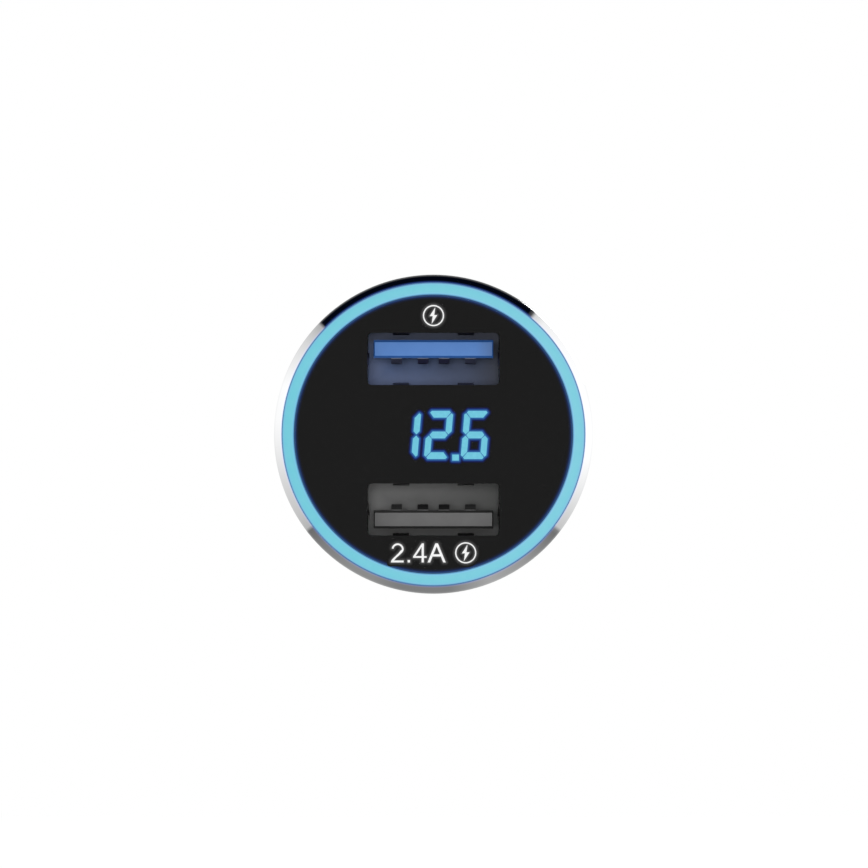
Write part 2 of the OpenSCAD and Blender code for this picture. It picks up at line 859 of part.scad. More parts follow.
// Moulded body in one piece: a cup that fills the sleeve, the shoulder, the barrel and the neck
module barrel_housing() {
    color("#1c1c1c") facing_front() difference() {
        union() {
            difference() {
                turned() housing_section();
                for (h = HANDS) at_hand(h)
                    translate([bore_r - slot_in, -slot_w / 2, slot_nose_z])
                        cube([2 * slot_in, slot_w, slot_head_z - slot_nose_z]);
            }
            for (h = HANDS) at_hand(h)
                translate([hook_x, 0, hook_z]) rotate([90, 0, 0])
                    cylinder(r = hook_bar_r, h = bar_len, center = true);
            both_sides(fixing_x) disc(pillar_r, floor_t - eps, ledge_z);
            guide_ribs();
        }
        both_sides(fixing_x) disc(screw_r, floor_t, ledge_z + over);
    }
}

// Half section of the body in [radius, Z]
module housing_section() {
    round_z = shoulder_len - shoulder_band;
    round_r = round_z + shoulder_sink;
    difference() {
        union() {
            intersection() {
                translate([head_r - round_r, round_z]) circle(round_r);
                square([head_r, round_z]);
            }
            square([head_r - round_r, shoulder_len]);
            translate([0, round_z - eps]) square([head_r, shoulder_band - seat_gap + eps]);
            translate([0, round_z]) square([ring_flange_r, lamp_back_z - round_z]);
            polygon([
                [0, eps],
                [seat_r, eps],
                [seat_r, -seat_len],
                [barrel_r, -seat_len - step_h],
                [barrel_r, -barrel_len],
                [0, -barrel_len],
            ]);
            translate([0, neck_end_z]) square([neck_r, neck_len + eps]);
        }
        translate([0, ledge_z]) square([cup_r, lamp_back_z]);
        translate([0, floor_t]) square([ledge_r, ledge_z]);
        translate([0, bore_end_z]) square([bore_r, floor_t - bore_end_z + eps]);
        translate([0, neck_end_z - over]) square([neck_bore_r, bore_end_z - neck_end_z + 2 * over]);
    }
}

// Narrow ribs that keep the barrel centred between the two side contacts
module guide_ribs() {
    for (top = [90, 270], i = [0:rib_count - 1])
        rotate(top + (i - (rib_count - 1) / 2) * rib_spread)
            translate([barrel_r - rib_root, -rib_w / 2, -barrel_len + rib_back])
                cube([rib_root + rib_h, rib_w, barrel_len - rib_back - seat_len - eps]);
}

// Metal cap ring screwed onto the neck, knurled for the fingers and tapered to the pin
module nose_ring() {
    band_z = -barrel_len - nose_band;
    color("silver") facing_front() difference() {
        turned() polygon([
            [neck_r + seat_gap, -barrel_len],
            [nose_r - nose_edge, -barrel_len],
            [nose_r, -barrel_len - nose_edge],
            [nose_r, band_z],
            [nose_tip_r, nose_tip_z + nose_edge],
            [nose_tip_r - nose_edge, nose_tip_z],
            [pin_r + run_gap, nose_tip_z],
            [pin_r + run_gap, neck_end_z],
            [neck_r + seat_gap, neck_end_z],
        ]);
        for (i = [1:knurl_count]) rotate(i * 360 / knurl_count)
            translate([nose_r + knurl_r / 2, 0, band_z + nose_edge])
                cylinder(r = knurl_r, h = nose_band - 3 * nose_edge, $fn = 24);
    }
}

// MOVING CONTACTS

// Sprung pin: a stem inside the spring, a flange behind the nose ring, and a domed tip
module centre_contact() {
    color("gainsboro") facing_front() turned() {
        translate([0, flange_back_z - eps]) square([stem_r, stem_len]);
        translate([0, flange_front_z]) square([flange_r, flange_t]);
        intersection() {
            translate([0, pin_tip_z]) square([pin_r, flange_front_z - pin_tip_z + eps]);
            union() {
                translate([0, pin_tip_z + dome_r]) circle(dome_r);
                translate([0, pin_tip_z + dome_r]) square([pin_r, flange_front_z - pin_tip_z]);
            }
        }
    }
}

// Coil spring between the plate and the pin's flange, swept as a six-sided tube
function coil_point(u) =
    let (a = 360 * spring_turns * u)
        [spring_r * cos(a), spring_r * sin(a),
         flange_back_z + wire_d / 2 + seat_gap + u * (spring_len - wire_d - 2 * seat_gap)];
function coil_ring(u, sides) =
    let (a = 360 * spring_turns * u, c = coil_point(u))
        [for (k = [0:sides - 1])
            let (b = 360 * k / sides)
                c + wire_d / 2 * [cos(b) * cos(a), cos(b) * sin(a), sin(b)]];

module contact_spring() {
    sides = 6;
    steps = ceil(spring_turns * 20);
    points = [for (i = [0:steps]) each coil_ring(i / steps, sides)];
    walls = [
        for (i = [0:steps - 1], k = [0:sides - 1])
            let (n = (k + 1) % sides)
                [i * sides + k, i * sides + n, (i + 1) * sides + n, (i + 1) * sides + k]
    ];
    first = [for (k = [sides - 1:-1:0]) k];
    last = [for (k = [0:sides - 1]) steps * sides + k];
    color("lightgray") facing_front() polyhedron(points, concat([first], walls, [last]));
}

// Brass plate soldered to the board's end, with a boss that centres the spring
module spring_plate() {
    color("goldenrod") facing_front() {
        disc(plate_r, plate_back_z, board_end_z);
        disc(boss_r, plate_back_z - boss_h, plate_back_z + eps);
    }
}

// Sprung ground leaf: hooked over the body's bar near the nose, bowed out through the slot,
// with its tail tucked in behind the barrel's wall
module side_contact(hand) {
    hook_mean = (hook_in_r + hook_out_r) / 2;
    foot_x = hook_x + hook_mean;
    crown_x = leaf_reach - leaf_t / 2;
    steps = 14;
    path = concat(
        [[foot_x, hook_z - 0.1]],
        [for (i = [0:steps])
            let (u = i / steps)
                [foot_x + (crown_x - foot_x) * sin(90 * u), hook_z + u * leaf_rise]],
        [for (i = [1:steps])
            let (u = i / steps)
                [crown_x + (leaf_tail_x - crown_x) * eased(u), leaf_crown_z + u * leaf_fall]],
        [[leaf_tail_x, leaf_end_z]]
    );
    color("gainsboro") facing_front() at_hand(hand) {
        along_y(leaf_w) polygon(strip(path, leaf_t));
        far = 3 * hook_out_r;
        translate([hook_x, 0, hook_z]) rotate([90, 0, 0]) difference() {
            cylinder(r = hook_out_r, h = leaf_w, center = true);
            cylinder(r = hook_in_r, h = leaf_w + over, center = true);
            linear_extrude(leaf_w + over, center = true)
                polygon([[0, 0], [far, 0], [far, far], [far / tan(hook_open), far]]);
        }
    }
}

// Tab soldered to the board, whose curved end carries the leaf's hook
module ground_tab(hand) {
    far = 3 * cradle_out;
    tab_from = board_narrow - tab_lap;
    tab_to = hook_x - sqrt(pow(cradle_in, 2) - pow(tab_rise, 2)) - eps;
    color("goldenrod") facing_front() at_hand(hand) {
        translate([hook_x, 0, hook_z]) rotate([90, 0, 0]) difference() {
            cylinder(r = cradle_out, h = tab_w, center = true);
            cylinder(r = cradle_in, h = tab_w + over, center = true);
            linear_extrude(tab_w + over, center = true) polygon([
                [0, 0],
                far * [cos(130), sin(130)],
                [0, 2 * far],
                [2 * far, 0],
                [0, -2 * far],
                far * [cos(230), sin(230)],
            ]);
        }
        translate([tab_from, board_y, hook_z + tab_rise])
            cube([tab_to - tab_from, tab_t, tab_len]);
    }
}

head_sleeve();
light_ring();
face_panel();
front_chassis();
display_block();
display_cells();
display_pins();
lamp_board();
for (i = LAMPS)
    ring_lamp(i);
for (s = SIDES) {
    port_shell(s);
    port_tongue(s);
    for (i = STRIPS)
        port_contact(s, i);
}
port_board();
board_screws();
link_header();
link_pins();
power_board();
input_capacitor();
output_capacitor();
inductor();
converter_chip();
charge_chip();
rectifier();
surface_fuse();
barrel_housing();
nose_ring();
centre_contact();
contact_spring();
spring_plate();
for (h = HANDS) {
    side_contact(h);
    ground_tab(h);
}
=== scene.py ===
import bpy
import bmesh
import json
import math
import numpy as np
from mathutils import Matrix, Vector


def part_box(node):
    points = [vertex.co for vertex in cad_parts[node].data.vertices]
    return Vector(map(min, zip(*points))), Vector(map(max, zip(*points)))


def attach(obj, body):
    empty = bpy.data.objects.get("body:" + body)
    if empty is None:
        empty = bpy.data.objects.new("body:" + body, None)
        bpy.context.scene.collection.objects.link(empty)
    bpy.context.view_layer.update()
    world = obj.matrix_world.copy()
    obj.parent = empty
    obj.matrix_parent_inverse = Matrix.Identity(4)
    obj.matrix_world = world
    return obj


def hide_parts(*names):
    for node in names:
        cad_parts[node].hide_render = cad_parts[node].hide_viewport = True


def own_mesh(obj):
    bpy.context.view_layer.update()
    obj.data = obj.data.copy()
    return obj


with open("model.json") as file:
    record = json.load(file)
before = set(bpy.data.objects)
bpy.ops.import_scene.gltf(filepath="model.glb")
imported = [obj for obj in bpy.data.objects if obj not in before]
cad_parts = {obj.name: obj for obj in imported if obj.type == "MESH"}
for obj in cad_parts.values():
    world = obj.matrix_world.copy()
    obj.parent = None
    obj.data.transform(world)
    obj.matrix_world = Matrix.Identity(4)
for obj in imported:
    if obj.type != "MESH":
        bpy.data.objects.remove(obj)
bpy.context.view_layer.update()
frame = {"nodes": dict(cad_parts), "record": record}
nodes = frame["nodes"]
slotOf = {part["node"]: part["material_slot"] for part in frame["record"]["subparts"]}
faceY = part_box("face_panel")[0].y    # front of the panel and of the ring light
mm = 0.001
black, white = (0, 0, 0), (1, 1, 1)


# colours as they read on a screen, 0 to 255
def screen(*levels):
    parts = [level / 255 for level in levels]
    return tuple(p / 12.92 if p <= 0.04045 else ((p + 0.055) / 1.055) ** 2.4 for p in parts)


def grey(level):
    return screen(level, level, level)


def scaled(colour, factor):
    return tuple(part * factor for part in colour)


# an output in the node tree that is being written; sums, products and so on of it add maths nodes
class Wire:
    tree = None

    def __init__(self, socket):
        self.socket = socket

    def __rsub__(self, other):
        return calc("SUBTRACT", other, self)

    def __rtruediv__(self, other):
        return calc("DIVIDE", other, self)


signs = {"add": "ADD", "sub": "SUBTRACT", "mul": "MULTIPLY", "truediv": "DIVIDE", "mod": "MODULO",
         "pow": "POWER", "gt": "GREATER_THAN", "lt": "LESS_THAN", "abs": "ABSOLUTE"}
for sign, operation in signs.items():
    setattr(Wire, f"__{sign}__", lambda *values, name=operation: calc(name, *values))


def feed(socket, value):
    if isinstance(value, Wire):
        Wire.tree.links.new(value.socket, socket)
    else:
        socket.default_value = (*value, 1) if socket.type == "RGBA" else value


def addNode(kind, inputs=None, **settings):
    node = Wire.tree.nodes.new(kind)
    for name, value in settings.items():
        setattr(node, name, value)
    for key, value in (inputs or {}).items():
        feed(node.inputs[key], value)
    return node


# one output of a new node
def wired(kind, inputs=None, out=0, **settings):
    return Wire(addNode(kind, inputs, **settings).outputs[out])


def calc(operation, *values, clamp=False):
    return wired("ShaderNodeMath", dict(enumerate(values)), operation=operation, use_clamp=clamp)


def split(vector):
    return [Wire(part) for part in addNode("ShaderNodeSeparateXYZ", {0: vector}).outputs]


def remap(value, low, high, newLow=0, newHigh=1):
    return wired("ShaderNodeMapRange", {0: value, 1: low, 2: high, 3: newLow, 4: newHigh})


def ramp(factor, stops):
    node = addNode("ShaderNodeValToRGB", {"Fac": factor})
    band = node.color_ramp
    while len(band.elements) < len(stops):
        band.elements.new(1.0)
    for element, (place, colour) in zip(band.elements, stops):
        element.position = place
        element.color = (*colour, 1)
    return Wire(node.outputs["Color"])


def blend(factor, first, second, mode="MIX"):
    inputs = {0: factor, 6: first, 7: second}
    return wired("ShaderNodeMix", inputs, 2, data_type="RGBA", blend_type=mode)


# a colour with a second one worked in, up to an amount, as a pattern goes from low to high
def mottled(first, second, pattern, low, high, amount):
    return blend(remap(pattern, low, high, 0, amount), first, second)


# noise on the piece's own coordinates; size is a feature in millimetres, stretch squeezes an axis
def noise(point, size, detail=2.0, roughness=0.5, stretch=(1, 1, 1), shift=0.0):
    place = wired("ShaderNodeMapping", {"Vector": point, "Scale": stretch, "Location": (shift,) * 3})
    return wired("ShaderNodeTexNoise", {
        "Vector": place, "Scale": 1 / (size * mm), "Detail": detail, "Roughness": roughness})


# distance is the height of the relief in millimetres
def bump(height, distance, strength, **more):
    return wired("ShaderNodeBump", {
        "Height": height, "Distance": distance * mm, "Strength": strength, **more})


# millimetres from the plug's axis, and along it from the stop face towards the viewer
def axisPlace(point):
    x, y, z = split(point)
    return calc("SQRT", x * x + z * z) * 1000, y * -1000


# the rays that come from the camera, off gloss and through clear things
def rayKinds():
    outputs = addNode("ShaderNodeLightPath").outputs
    return [Wire(outputs[f"Is {kind} Ray"]) for kind in ("Camera", "Glossy", "Transmission")]


# empties the node tree of a material or a world, and writes in it from here on
def openTree(owner):
    owner.use_nodes = True
    Wire.tree = owner.node_tree
    Wire.tree.nodes.clear()


shaderSockets = {
    "colour": "Base Color", "metal": "Metallic", "rough": "Roughness", "normal": "Normal",
    "specular": "Specular IOR Level", "coat": "Coat Weight", "coatRough": "Coat Roughness",
    "glow": "Emission Color", "glowStrength": "Emission Strength",
}


# look is a function of the piece's own coordinates that gives the values of the shader's sockets
def newMaterial(name, look, **settings):
    material = bpy.data.materials.new(name)
    openTree(material)
    values = look(wired("ShaderNodeTexCoord", out="Object"), **settings)
    inputs = {shaderSockets[key]: value for key, value in values.items()}
    addNode("ShaderNodeOutputMaterial", {"Surface": wired("ShaderNodeBsdfPrincipled", inputs)})
    return material


def placed(name, data):
    thing = bpy.data.objects.new(name, data)
    bpy.context.scene.collection.objects.link(thing)
    return thing


# camera: straight at the face, far off, as in the photograph
cameraSettings = {"distance": 1.6, "pictureWidth": 0.0821, "right": 0.00005, "up": 0.00002,
                  "sensor": 36, "nearest": 0.05}


def makeCamera():
    s = cameraSettings
    data = bpy.data.cameras.new("faceCamera")
    data.sensor_width = s["sensor"]
    data.lens = s["sensor"] * s["distance"] / s["pictureWidth"]
    data.clip_start = s["nearest"]
    camera = placed("faceCamera", data)
    camera.location = (s["right"], faceY - s["distance"], s["up"])
    camera.rotation_euler = (math.radians(90), 0, 0)
    bpy.context.scene.camera = camera


# studio: soft white all round, and the cards that polished metal mirrors
studio = {
    "soft": 0.62,
    "full": 1.3,    # the cards' brightest white
    "dark": screen(2, 5, 17),
    # angle round the plug's axis, from its right side upwards, and grey; None is the dark card
    "cards": [
        (0, 272), (34, 264), (45, 252), (50.45, 218), (50.65, None), (90, None), (135.85, None),
        (136.05, 184), (140, 208), (145, 228), (152, 246), (162, 266), (175, 263), (182, 254),
        (190, 240), (200, 222), (210, 207), (216.6, 190), (216.8, 110), (225, 132), (237, 147),
        (247, 147), (257, 132), (276, 133), (291, 173), (305, 159), (322.0, 114), (322.2, 203),
        (331, 226), (341, 250), (351, 268), (360, 272),
    ],
    # how far along the axis a plain grey starts and is fullest, its share there, and the grey
    "plain": [(0.05, 0.95, 0.3, 225), (-0.15, -0.85, 0.35, 160)],
    "opening": [(0, (0.02,) * 3), (0.55, (0.03,) * 3), (1, white)],
    "openingEdge": (-1, -0.9),    # along the axis, from its middle to its edge
    "lamps": [    # name, place, width, watts, seen in gloss
        ("faceLamp", (-0.05, -1.9, 0.03), 0.3, 13.0, False),
        ("keyLamp", (-0.7, -0.5, 0.95), 0.5, 6.0, False),
        ("backLamp", (0.75, 0.85, 0.55), 0.5, 7.0, True),
    ],
}


def makeStudio():
    s = studio
    world = bpy.data.worlds.new("studio")
    openTree(world)
    x, y, z = split(wired("ShaderNodeTexCoord", out="Generated"))
    turn = calc("FRACT", calc("ARCTAN2", z, x) / (2 * math.pi) + 1)
    colours = [(angle, s["dark"] if level is None else grey(level)) for angle, level in s["cards"]]
    stops = [(angle / 360, [part / s["full"] for part in colour]) for angle, colour in colours]
    cards = blend(1.0, ramp(turn, stops), (s["full"],) * 3, "MULTIPLY")
    for start, end, share, level in s["plain"]:
        cards = mottled(cards, grey(level), y, start, end, share)
    # the camera stands in a dark opening, and behind the plug the studio is plain white
    cards = blend(1.0, cards, ramp(remap(y, *s["openingEdge"]), s["opening"]), "MULTIPLY")
    camera, glossy, through = rayKinds()
    seen = blend(glossy, (s["soft"],) * 3, cards)
    seen = blend(calc("MAXIMUM", camera, through), seen, white)
    addNode("ShaderNodeOutputWorld", {0: wired("ShaderNodeBackground", {"Color": seen})})
    bpy.context.scene.world = world
    for name, place, width, watts, inGloss in s["lamps"]:
        data = bpy.data.lights.new(name, "AREA")
        data.size = width
        data.energy = watts
        lamp = placed(name, data)
        lamp.location = place
        lamp.rotation_euler = (-lamp.location).to_track_quat("-Z", "Y").to_euler()
        lamp.visible_glossy = inGloss
    bpy.context.scene.view_settings.view_transform = "Standard"


floorSettings = {"below": 0.046, "radius": 0.54, "corners": 96, "plainFrom": 0.2, "plainTo": 0.42,
                 "grey": 0.8, "lift": 0.16}


def makeFloor():
    s = floorSettings
    turns = [2 * math.pi * i / s["corners"] for i in range(s["corners"])]
    points = [(s["radius"] * math.cos(t), s["radius"] * math.sin(t), -s["below"]) for t in turns]
    mesh = bpy.data.meshes.new("paleFloor")
    mesh.from_pydata(points, [], [list(range(len(points)))])
    floor = placed("paleFloor", mesh)
    material = bpy.data.materials.new("paleFloor")
    openTree(material)
    x, y, z = split(wired("ShaderNodeTexCoord", out="Object"))
    edge = remap(calc("SQRT", x * x + y * y), s["plainFrom"], s["plainTo"])
    camera, glossy, through = rayKinds()
    plain = calc("MAXIMUM", camera, calc("MAXIMUM", glossy, through))
    diffuse = wired("ShaderNodeBsdfDiffuse", {"Color": (s["grey"],) * 3})
    lift = wired("ShaderNodeEmission", {"Strength": plain * s["lift"]})
    near = wired("ShaderNodeAddShader", {0: diffuse, 1: lift})
    far = wired("ShaderNodeEmission", {"Strength": plain})
    whole = wired("ShaderNodeMixShader", {0: edge, 1: near, 2: far})
    # clear when it is seen from below
    under = wired("ShaderNodeNewGeometry", out="Backfacing") * camera
    whole = wired("ShaderNodeMixShader", {0: under, 1: whole, 2: wired("ShaderNodeBsdfTransparent")})
    addNode("ShaderNodeOutputMaterial", {"Surface": whole})
    mesh.materials.append(material)
    floor.visible_glossy = False    # metal mirrors the studio's cards instead


print("camera, studio and floor")
makeCamera()
makeStudio()
makeFloor()

print("finishes")
# the ring light just touches the inner edge of the head's bevel; its light there is a painted glow, with
# painted shade in the gap beside the ring; places are in millimetres
spill = {
    "front": 16.2, "seam": (14.37, 14.45), "gapShadeShare": 0.4, "gapShadeColour": (0.1, 0.16, 0.3),
    "edge": (14.35, 14.55), "strength": 0.8,
    "tint": [(0, screen(54, 92, 160)), (0.45, screen(34, 54, 112)), (1, black)],
}


# polished, turned metal: head sleeve, nose ring and centre contact; lines is their pitch
def turnedMetal(point, colour, rough, lines, depth, smudge, spill=None):
    radius, height = axisPlace(point)
    along = wired("ShaderNodeCombineXYZ", {0: height + radius * 1.7})
    cutLines = wired("ShaderNodeTexNoise", {
        "Vector": along, "Scale": 1 / lines, "Detail": 3.0, "Roughness": 0.6})
    smears = noise(point, 7, 3)
    scratches = noise(point, 0.9, stretch=(1, 14, 1))
    shade = mottled(colour, scaled(colour, 0.8), smears, 0.35, 0.7, 0.06)
    light = {}
    if spill:
        front = height > spill["front"]
        # painted shade in the gap between the ring light and the sleeve, darkening the metal's reflection
        # there
        seam = front * remap(radius, *spill["seam"], spill["gapShadeShare"], 0)
        shade = blend(seam, shade, spill["gapShadeColour"])
        # painted glow: the ring's light painted on the bevel's inner edge as emission
        tint = ramp(remap(radius, *spill["edge"]), spill["tint"])
        light = {"glow": blend(front, black, tint), "glowStrength": spill["strength"]}
    roughness = remap(smears, 0.4, 0.75, rough, rough + smudge) + remap(scratches, 0.6, 0.8, 0, smudge)
    return dict(colour=shade, metal=1.0, rough=roughness,
                normal=bump(cutLines, depth, 0.25), **light)


# lines along the way that a metal was drawn, and patches across them
def drawnGrain(point, stretch):
    return noise(point, 0.09, 3, 0.65, stretch=stretch), noise(point, 1.6, 4, 0.6)


# sheet and wire metal with a rolled or drawn grain along one axis
def rolledMetal(point, colour, rough, grain=(1, 1, 1), stain=None, stainAmount=0.25):
    lines, patches = drawnGrain(point, grain)
    shade = mottled(colour, scaled(colour, 0.72), lines, 0.3, 0.75, 0.18)
    if stain:
        shade = mottled(shade, stain, patches, 0.5, 0.75, stainAmount)
    roughness = remap(lines, 0.3, 0.7, rough - 0.04, rough + 0.06) + remap(patches, 0.4, 0.8, 0, 0.1)
    return dict(colour=shade, metal=1.0, rough=roughness, normal=bump(lines, 0.004, 0.35))


# plated spring strip: rolled along its length, rubbed bright where the socket's wall runs on it
def leafLook(point, rubFrom, rubTo):
    lines = noise(point, 0.14, 4, 0.7, stretch=(0.02, 0.02, 1))
    cloud = noise(point, 1.8, 3)
    rubbed = remap(abs(split(point)[0]), rubFrom * mm, rubTo * mm) * remap(lines, 0.35, 0.6, 0.4, 1)
    shade = mottled((0.62, 0.61, 0.585), (0.42, 0.41, 0.39), lines, 0.3, 0.75, 0.35)
    shade = mottled(shade, (0.4, 0.36, 0.3), cloud, 0.5, 0.75, 0.25)
    shade = blend(rubbed, shade, (0.72, 0.71, 0.69))
    roughness = remap(lines, 0.3, 0.7, 0.2, 0.32) + remap(cloud, 0.4, 0.8, 0, 0.12) - rubbed * 0.1
    return dict(colour=shade, metal=1.0, rough=roughness, normal=bump(lines, 0.006, 0.5))


# a port's shell: drawn steel darkened with painted shade, with a painted blue cast beside the blue tongue
def shellLook(point):
    lines, patches = drawnGrain(point, (1, 0.07, 1))
    # painted shade: dark steel, with a painted blue cast in the upper port beside its blue tongue
    shade = blend(split(point)[2] > 0, (0.14, 0.14, 0.14), (0.15, 0.16, 0.27))
    shade = mottled(shade, (0.05, 0.05, 0.06), lines, 0.3, 0.75, 0.3)
    shade = mottled(shade, (0.2, 0.19, 0.18), patches, 0.5, 0.75, 0.3)
    roughness = remap(lines, 0.3, 0.7, 0.26, 0.38) + remap(patches, 0.4, 0.8, 0, 0.1)
    return dict(colour=shade, metal=0.8, rough=roughness, normal=bump(lines, 0.004, 0.35))


# moulded plastic: spark-eroded grain, faint flow marks and handling shine
def mouldedPlastic(point, colour, rough, grain, depth, seam=None):
    fine = noise(point, grain, 2, 0.6)
    coarse = noise(point, grain * 3.2, shift=0.013)
    flow = noise(point, 5, 3, 0.55, stretch=(1, 0.45, 1))
    lighter = tuple(part * 1.5 + 0.004 for part in colour)
    shade = mottled(colour, lighter, flow, 0.35, 0.7, 0.3)
    shade = mottled(shade, lighter, fine, 0.55, 0.8, 0.3)
    height = fine + coarse * 0.7
    if seam:    # where the mould's halves met, along the top and the bottom
        height = height + remap(abs(split(point)[0]), 0, seam * mm, 1, 0) * 3.0
    edge = wired("ShaderNodeBevel", {"Radius": 0.1 * mm}, samples=6)    # the radius a mould leaves
    roughness = remap(flow, 0.35, 0.7, rough + 0.06, rough - 0.06) + remap(fine, 0.3, 0.7, 0, 0.08)
    return dict(colour=shade, rough=roughness, normal=bump(height, depth, 0.5, Normal=edge))


# millimetres from the axis, and the light there
ring = {
    "guide": [
        (13.05, (33, 50, 92)), (13.16, (50, 86, 136)), (13.26, (96, 152, 200)),
        (13.33, (136, 202, 232)), (13.46, (128, 204, 222)), (13.75, (126, 206, 221)),
        (14.08, (124, 203, 221)), (14.19, (134, 199, 226)), (14.26, (120, 176, 212)),
        (14.33, (76, 116, 168)), (14.4, (40, 58, 120)),
    ],
    "panelRim": [
        (12.76, (0, 0, 0)), (12.88, (0, 8, 34)), (12.96, (2, 22, 58)), (13.04, (12, 42, 90)),
        (13.12, (38, 72, 124)), (13.2, (60, 100, 158)),
    ],
    "front": 16.8,    # height of the face, less a little
    "dark": 10.9,    # height at which the guide's light has died away
}


def ringGlow(radius, edges):
    low, high = edges[0][0], edges[-1][0]
    return ramp(remap(radius, low, high), [((r - low) / (high - low), screen(*c)) for r, c in edges])


def ringGuide(point):
    radius, height = axisPlace(point)
    side = remap(split(point)[0], -0.014, 0.014)    # greener on the left, paler on the right
    tint = blend(side, screen(226, 247, 248), screen(252, 252, 253))
    glow = blend(1.0, ringGlow(radius, ring["guide"]), tint, "MULTIPLY")
    milk = noise(point, 0.8, 3, 0.6)
    glow = mottled(glow, screen(190, 236, 246), milk, 0.3, 0.7, 0.05)
    near = remap(height, ring["dark"], ring["front"], 0.08, 1) ** 2
    return dict(colour=screen(40, 66, 74), specular=0.3, glow=blend(near, black, glow),
                glowStrength=0.93, rough=remap(milk, 0.3, 0.7, 0.3, 0.4),
                normal=bump(milk, 0.004, 0.3))


# the panel's near black, with the faintest dust
def dustyPanel(point):
    return mottled(grey(27), grey(45), noise(point, 0.12, 2, 0.7, shift=0.02), 0.62, 0.8, 0.06)


def smokedPanel(point):
    radius, height = axisPlace(point)
    # painted glow of the ring light on the panel just inside the ring
    glow = blend(height > ring["front"], black, ringGlow(radius, ring["panelRim"]))
    return dict(colour=dustyPanel(point), specular=0.35, glow=glow, glowStrength=1.0,
                rough=remap(noise(point, 6, 3), 0.35, 0.7, 0.03, 0.06),
                normal=bump(noise(point, 1.4), 0.001, 0.2))


def litCells(point):
    cloud = noise(point, 0.5, 3)
    glow = mottled(screen(112, 200, 222), screen(150, 222, 240), cloud, 0.3, 0.7, 0.3)
    return dict(colour=screen(150, 190, 200), glow=glow, glowStrength=0.5, rough=0.5,
                normal=bump(cloud, 0.01, 0.4))


# a lamp: phosphor in front, white carrier behind
def lampLens(point, lensTo):
    cloud = noise(point, 0.3, 3)
    lens = split(point)[1] < lensTo * mm
    shade = blend(lens, screen(226, 224, 214), screen(196, 204, 120))
    shade = mottled(shade, screen(170, 168, 140), cloud, 0.3, 0.7, 0.2)
    return dict(colour=shade, glow=screen(150, 220, 240), glowStrength=lens * 0.35,
                coat=0.4, coatRough=0.1, rough=remap(cloud, 0.3, 0.7, 0.25, 0.4))


# where the looks of a port's plastic and strips change, in metres from the plug's axes
port = {
    "front": (-0.0145, -0.0155), "halfWide": 0.0065, "leftEnd": (-0.0042, -0.0061),
    "rightEnd": (0.004, 0.0062), "edge": 0.00714,    # the tongue's edge towards the opening
    "withinEdge": (-0.0009, -0.0023), "beyondEdge": (0.0014, 0.0018), "wallLightShare": 0.34,
    "stripHighlight": (0.00713, 0.00717), "outerStrips": 0.002,
}


# tongue and base of a port: the tongue's own colour in front, with painted shade on its faces that turn
# from the front; painted shade in the depth of the opening, darker towards the right
def portPlastic(point, tongue, edge, depthShadeLeft, depthShadeRight, paintedWallLight, beyond, endShade=0.0):
    x, y, z = split(point)
    # faces that turn away from the front take the dark edge colour: painted shade
    faced = remap(split(wired("ShaderNodeTexCoord", out="Normal"))[1] * -1, 0.8, 0.95)
    inFront = remap(y, *port["front"])
    across = remap(x, -port["halfWide"], port["halfWide"]) ** 2
    mould = noise(point, 2.2, 3, 0.6)
    # painted shade in the depth, lighter on the left and darker on the right
    deep = mottled(blend(across, depthShadeLeft, depthShadeRight), depthShadeRight, mould, 0.35, 0.7, 0.3)
    # painted light towards the walls of the opening, against the shade that falls there, and a paler
    # painted light beyond the tongue's edge
    overEdge = abs(z) - port["edge"]
    nearEnds = remap(x, *port["leftEnd"])
    nearSides = remap(overEdge, *port["withinEdge"], 0, 0.75) * (1 - across)
    deep = blend(calc("MAXIMUM", nearEnds, nearSides) * port["wallLightShare"], deep, paintedWallLight)
    deep = mottled(deep, beyond, overEdge, *port["beyondEdge"], 0.6)
    front = mottled(tongue, edge, mould, 0.35, 0.7, 0.12)
    # painted shade on the tongue's right end
    front = mottled(front, depthShadeRight, x, *port["rightEnd"], endShade)
    return dict(colour=blend(inFront, deep, blend(faced, edge, front)), specular=0.3,
                rough=remap(mould, 0.3, 0.7, 0.38, 0.52), normal=bump(noise(point, 0.07), 0.003, 0.35))


# contact strip of a port: painted shade over it, a painted highlight where it leaves the tongue, the
# outer two painted lighter, bluish in the upper port
def portStrip(point):
    x, y, z = split(point)
    # painted highlight along the strip where it leaves the tongue
    highlightMask = remap(abs(z), *port["stripHighlight"])
    outer, upper = abs(x) > port["outerStrips"], z > 0
    grain = noise(point, 0.12, 3, 0.6, stretch=(1, 0.1, 1))
    # painted shade: dark, bluish in the upper port, the outer strips lighter
    blue = blend(outer, (0.044, 0.046, 0.11), (0.085, 0.095, 0.165))
    plain = blend(outer, (0.032, 0.032, 0.032), (0.07, 0.071, 0.07))
    shade = mottled(blend(upper, plain, blue), (0.05, 0.05, 0.055), grain, 0.3, 0.7, 0.4)
    pale = blend(upper, (0.4, 0.4, 0.4), (0.62, 0.66, 0.76))
    return dict(colour=blend(highlightMask, shade, pale), metal=0.35, specular=0.4,
                rough=remap(grain, 0.3, 0.7, 0.32, 0.46), normal=bump(grain, 0.003, 0.3))


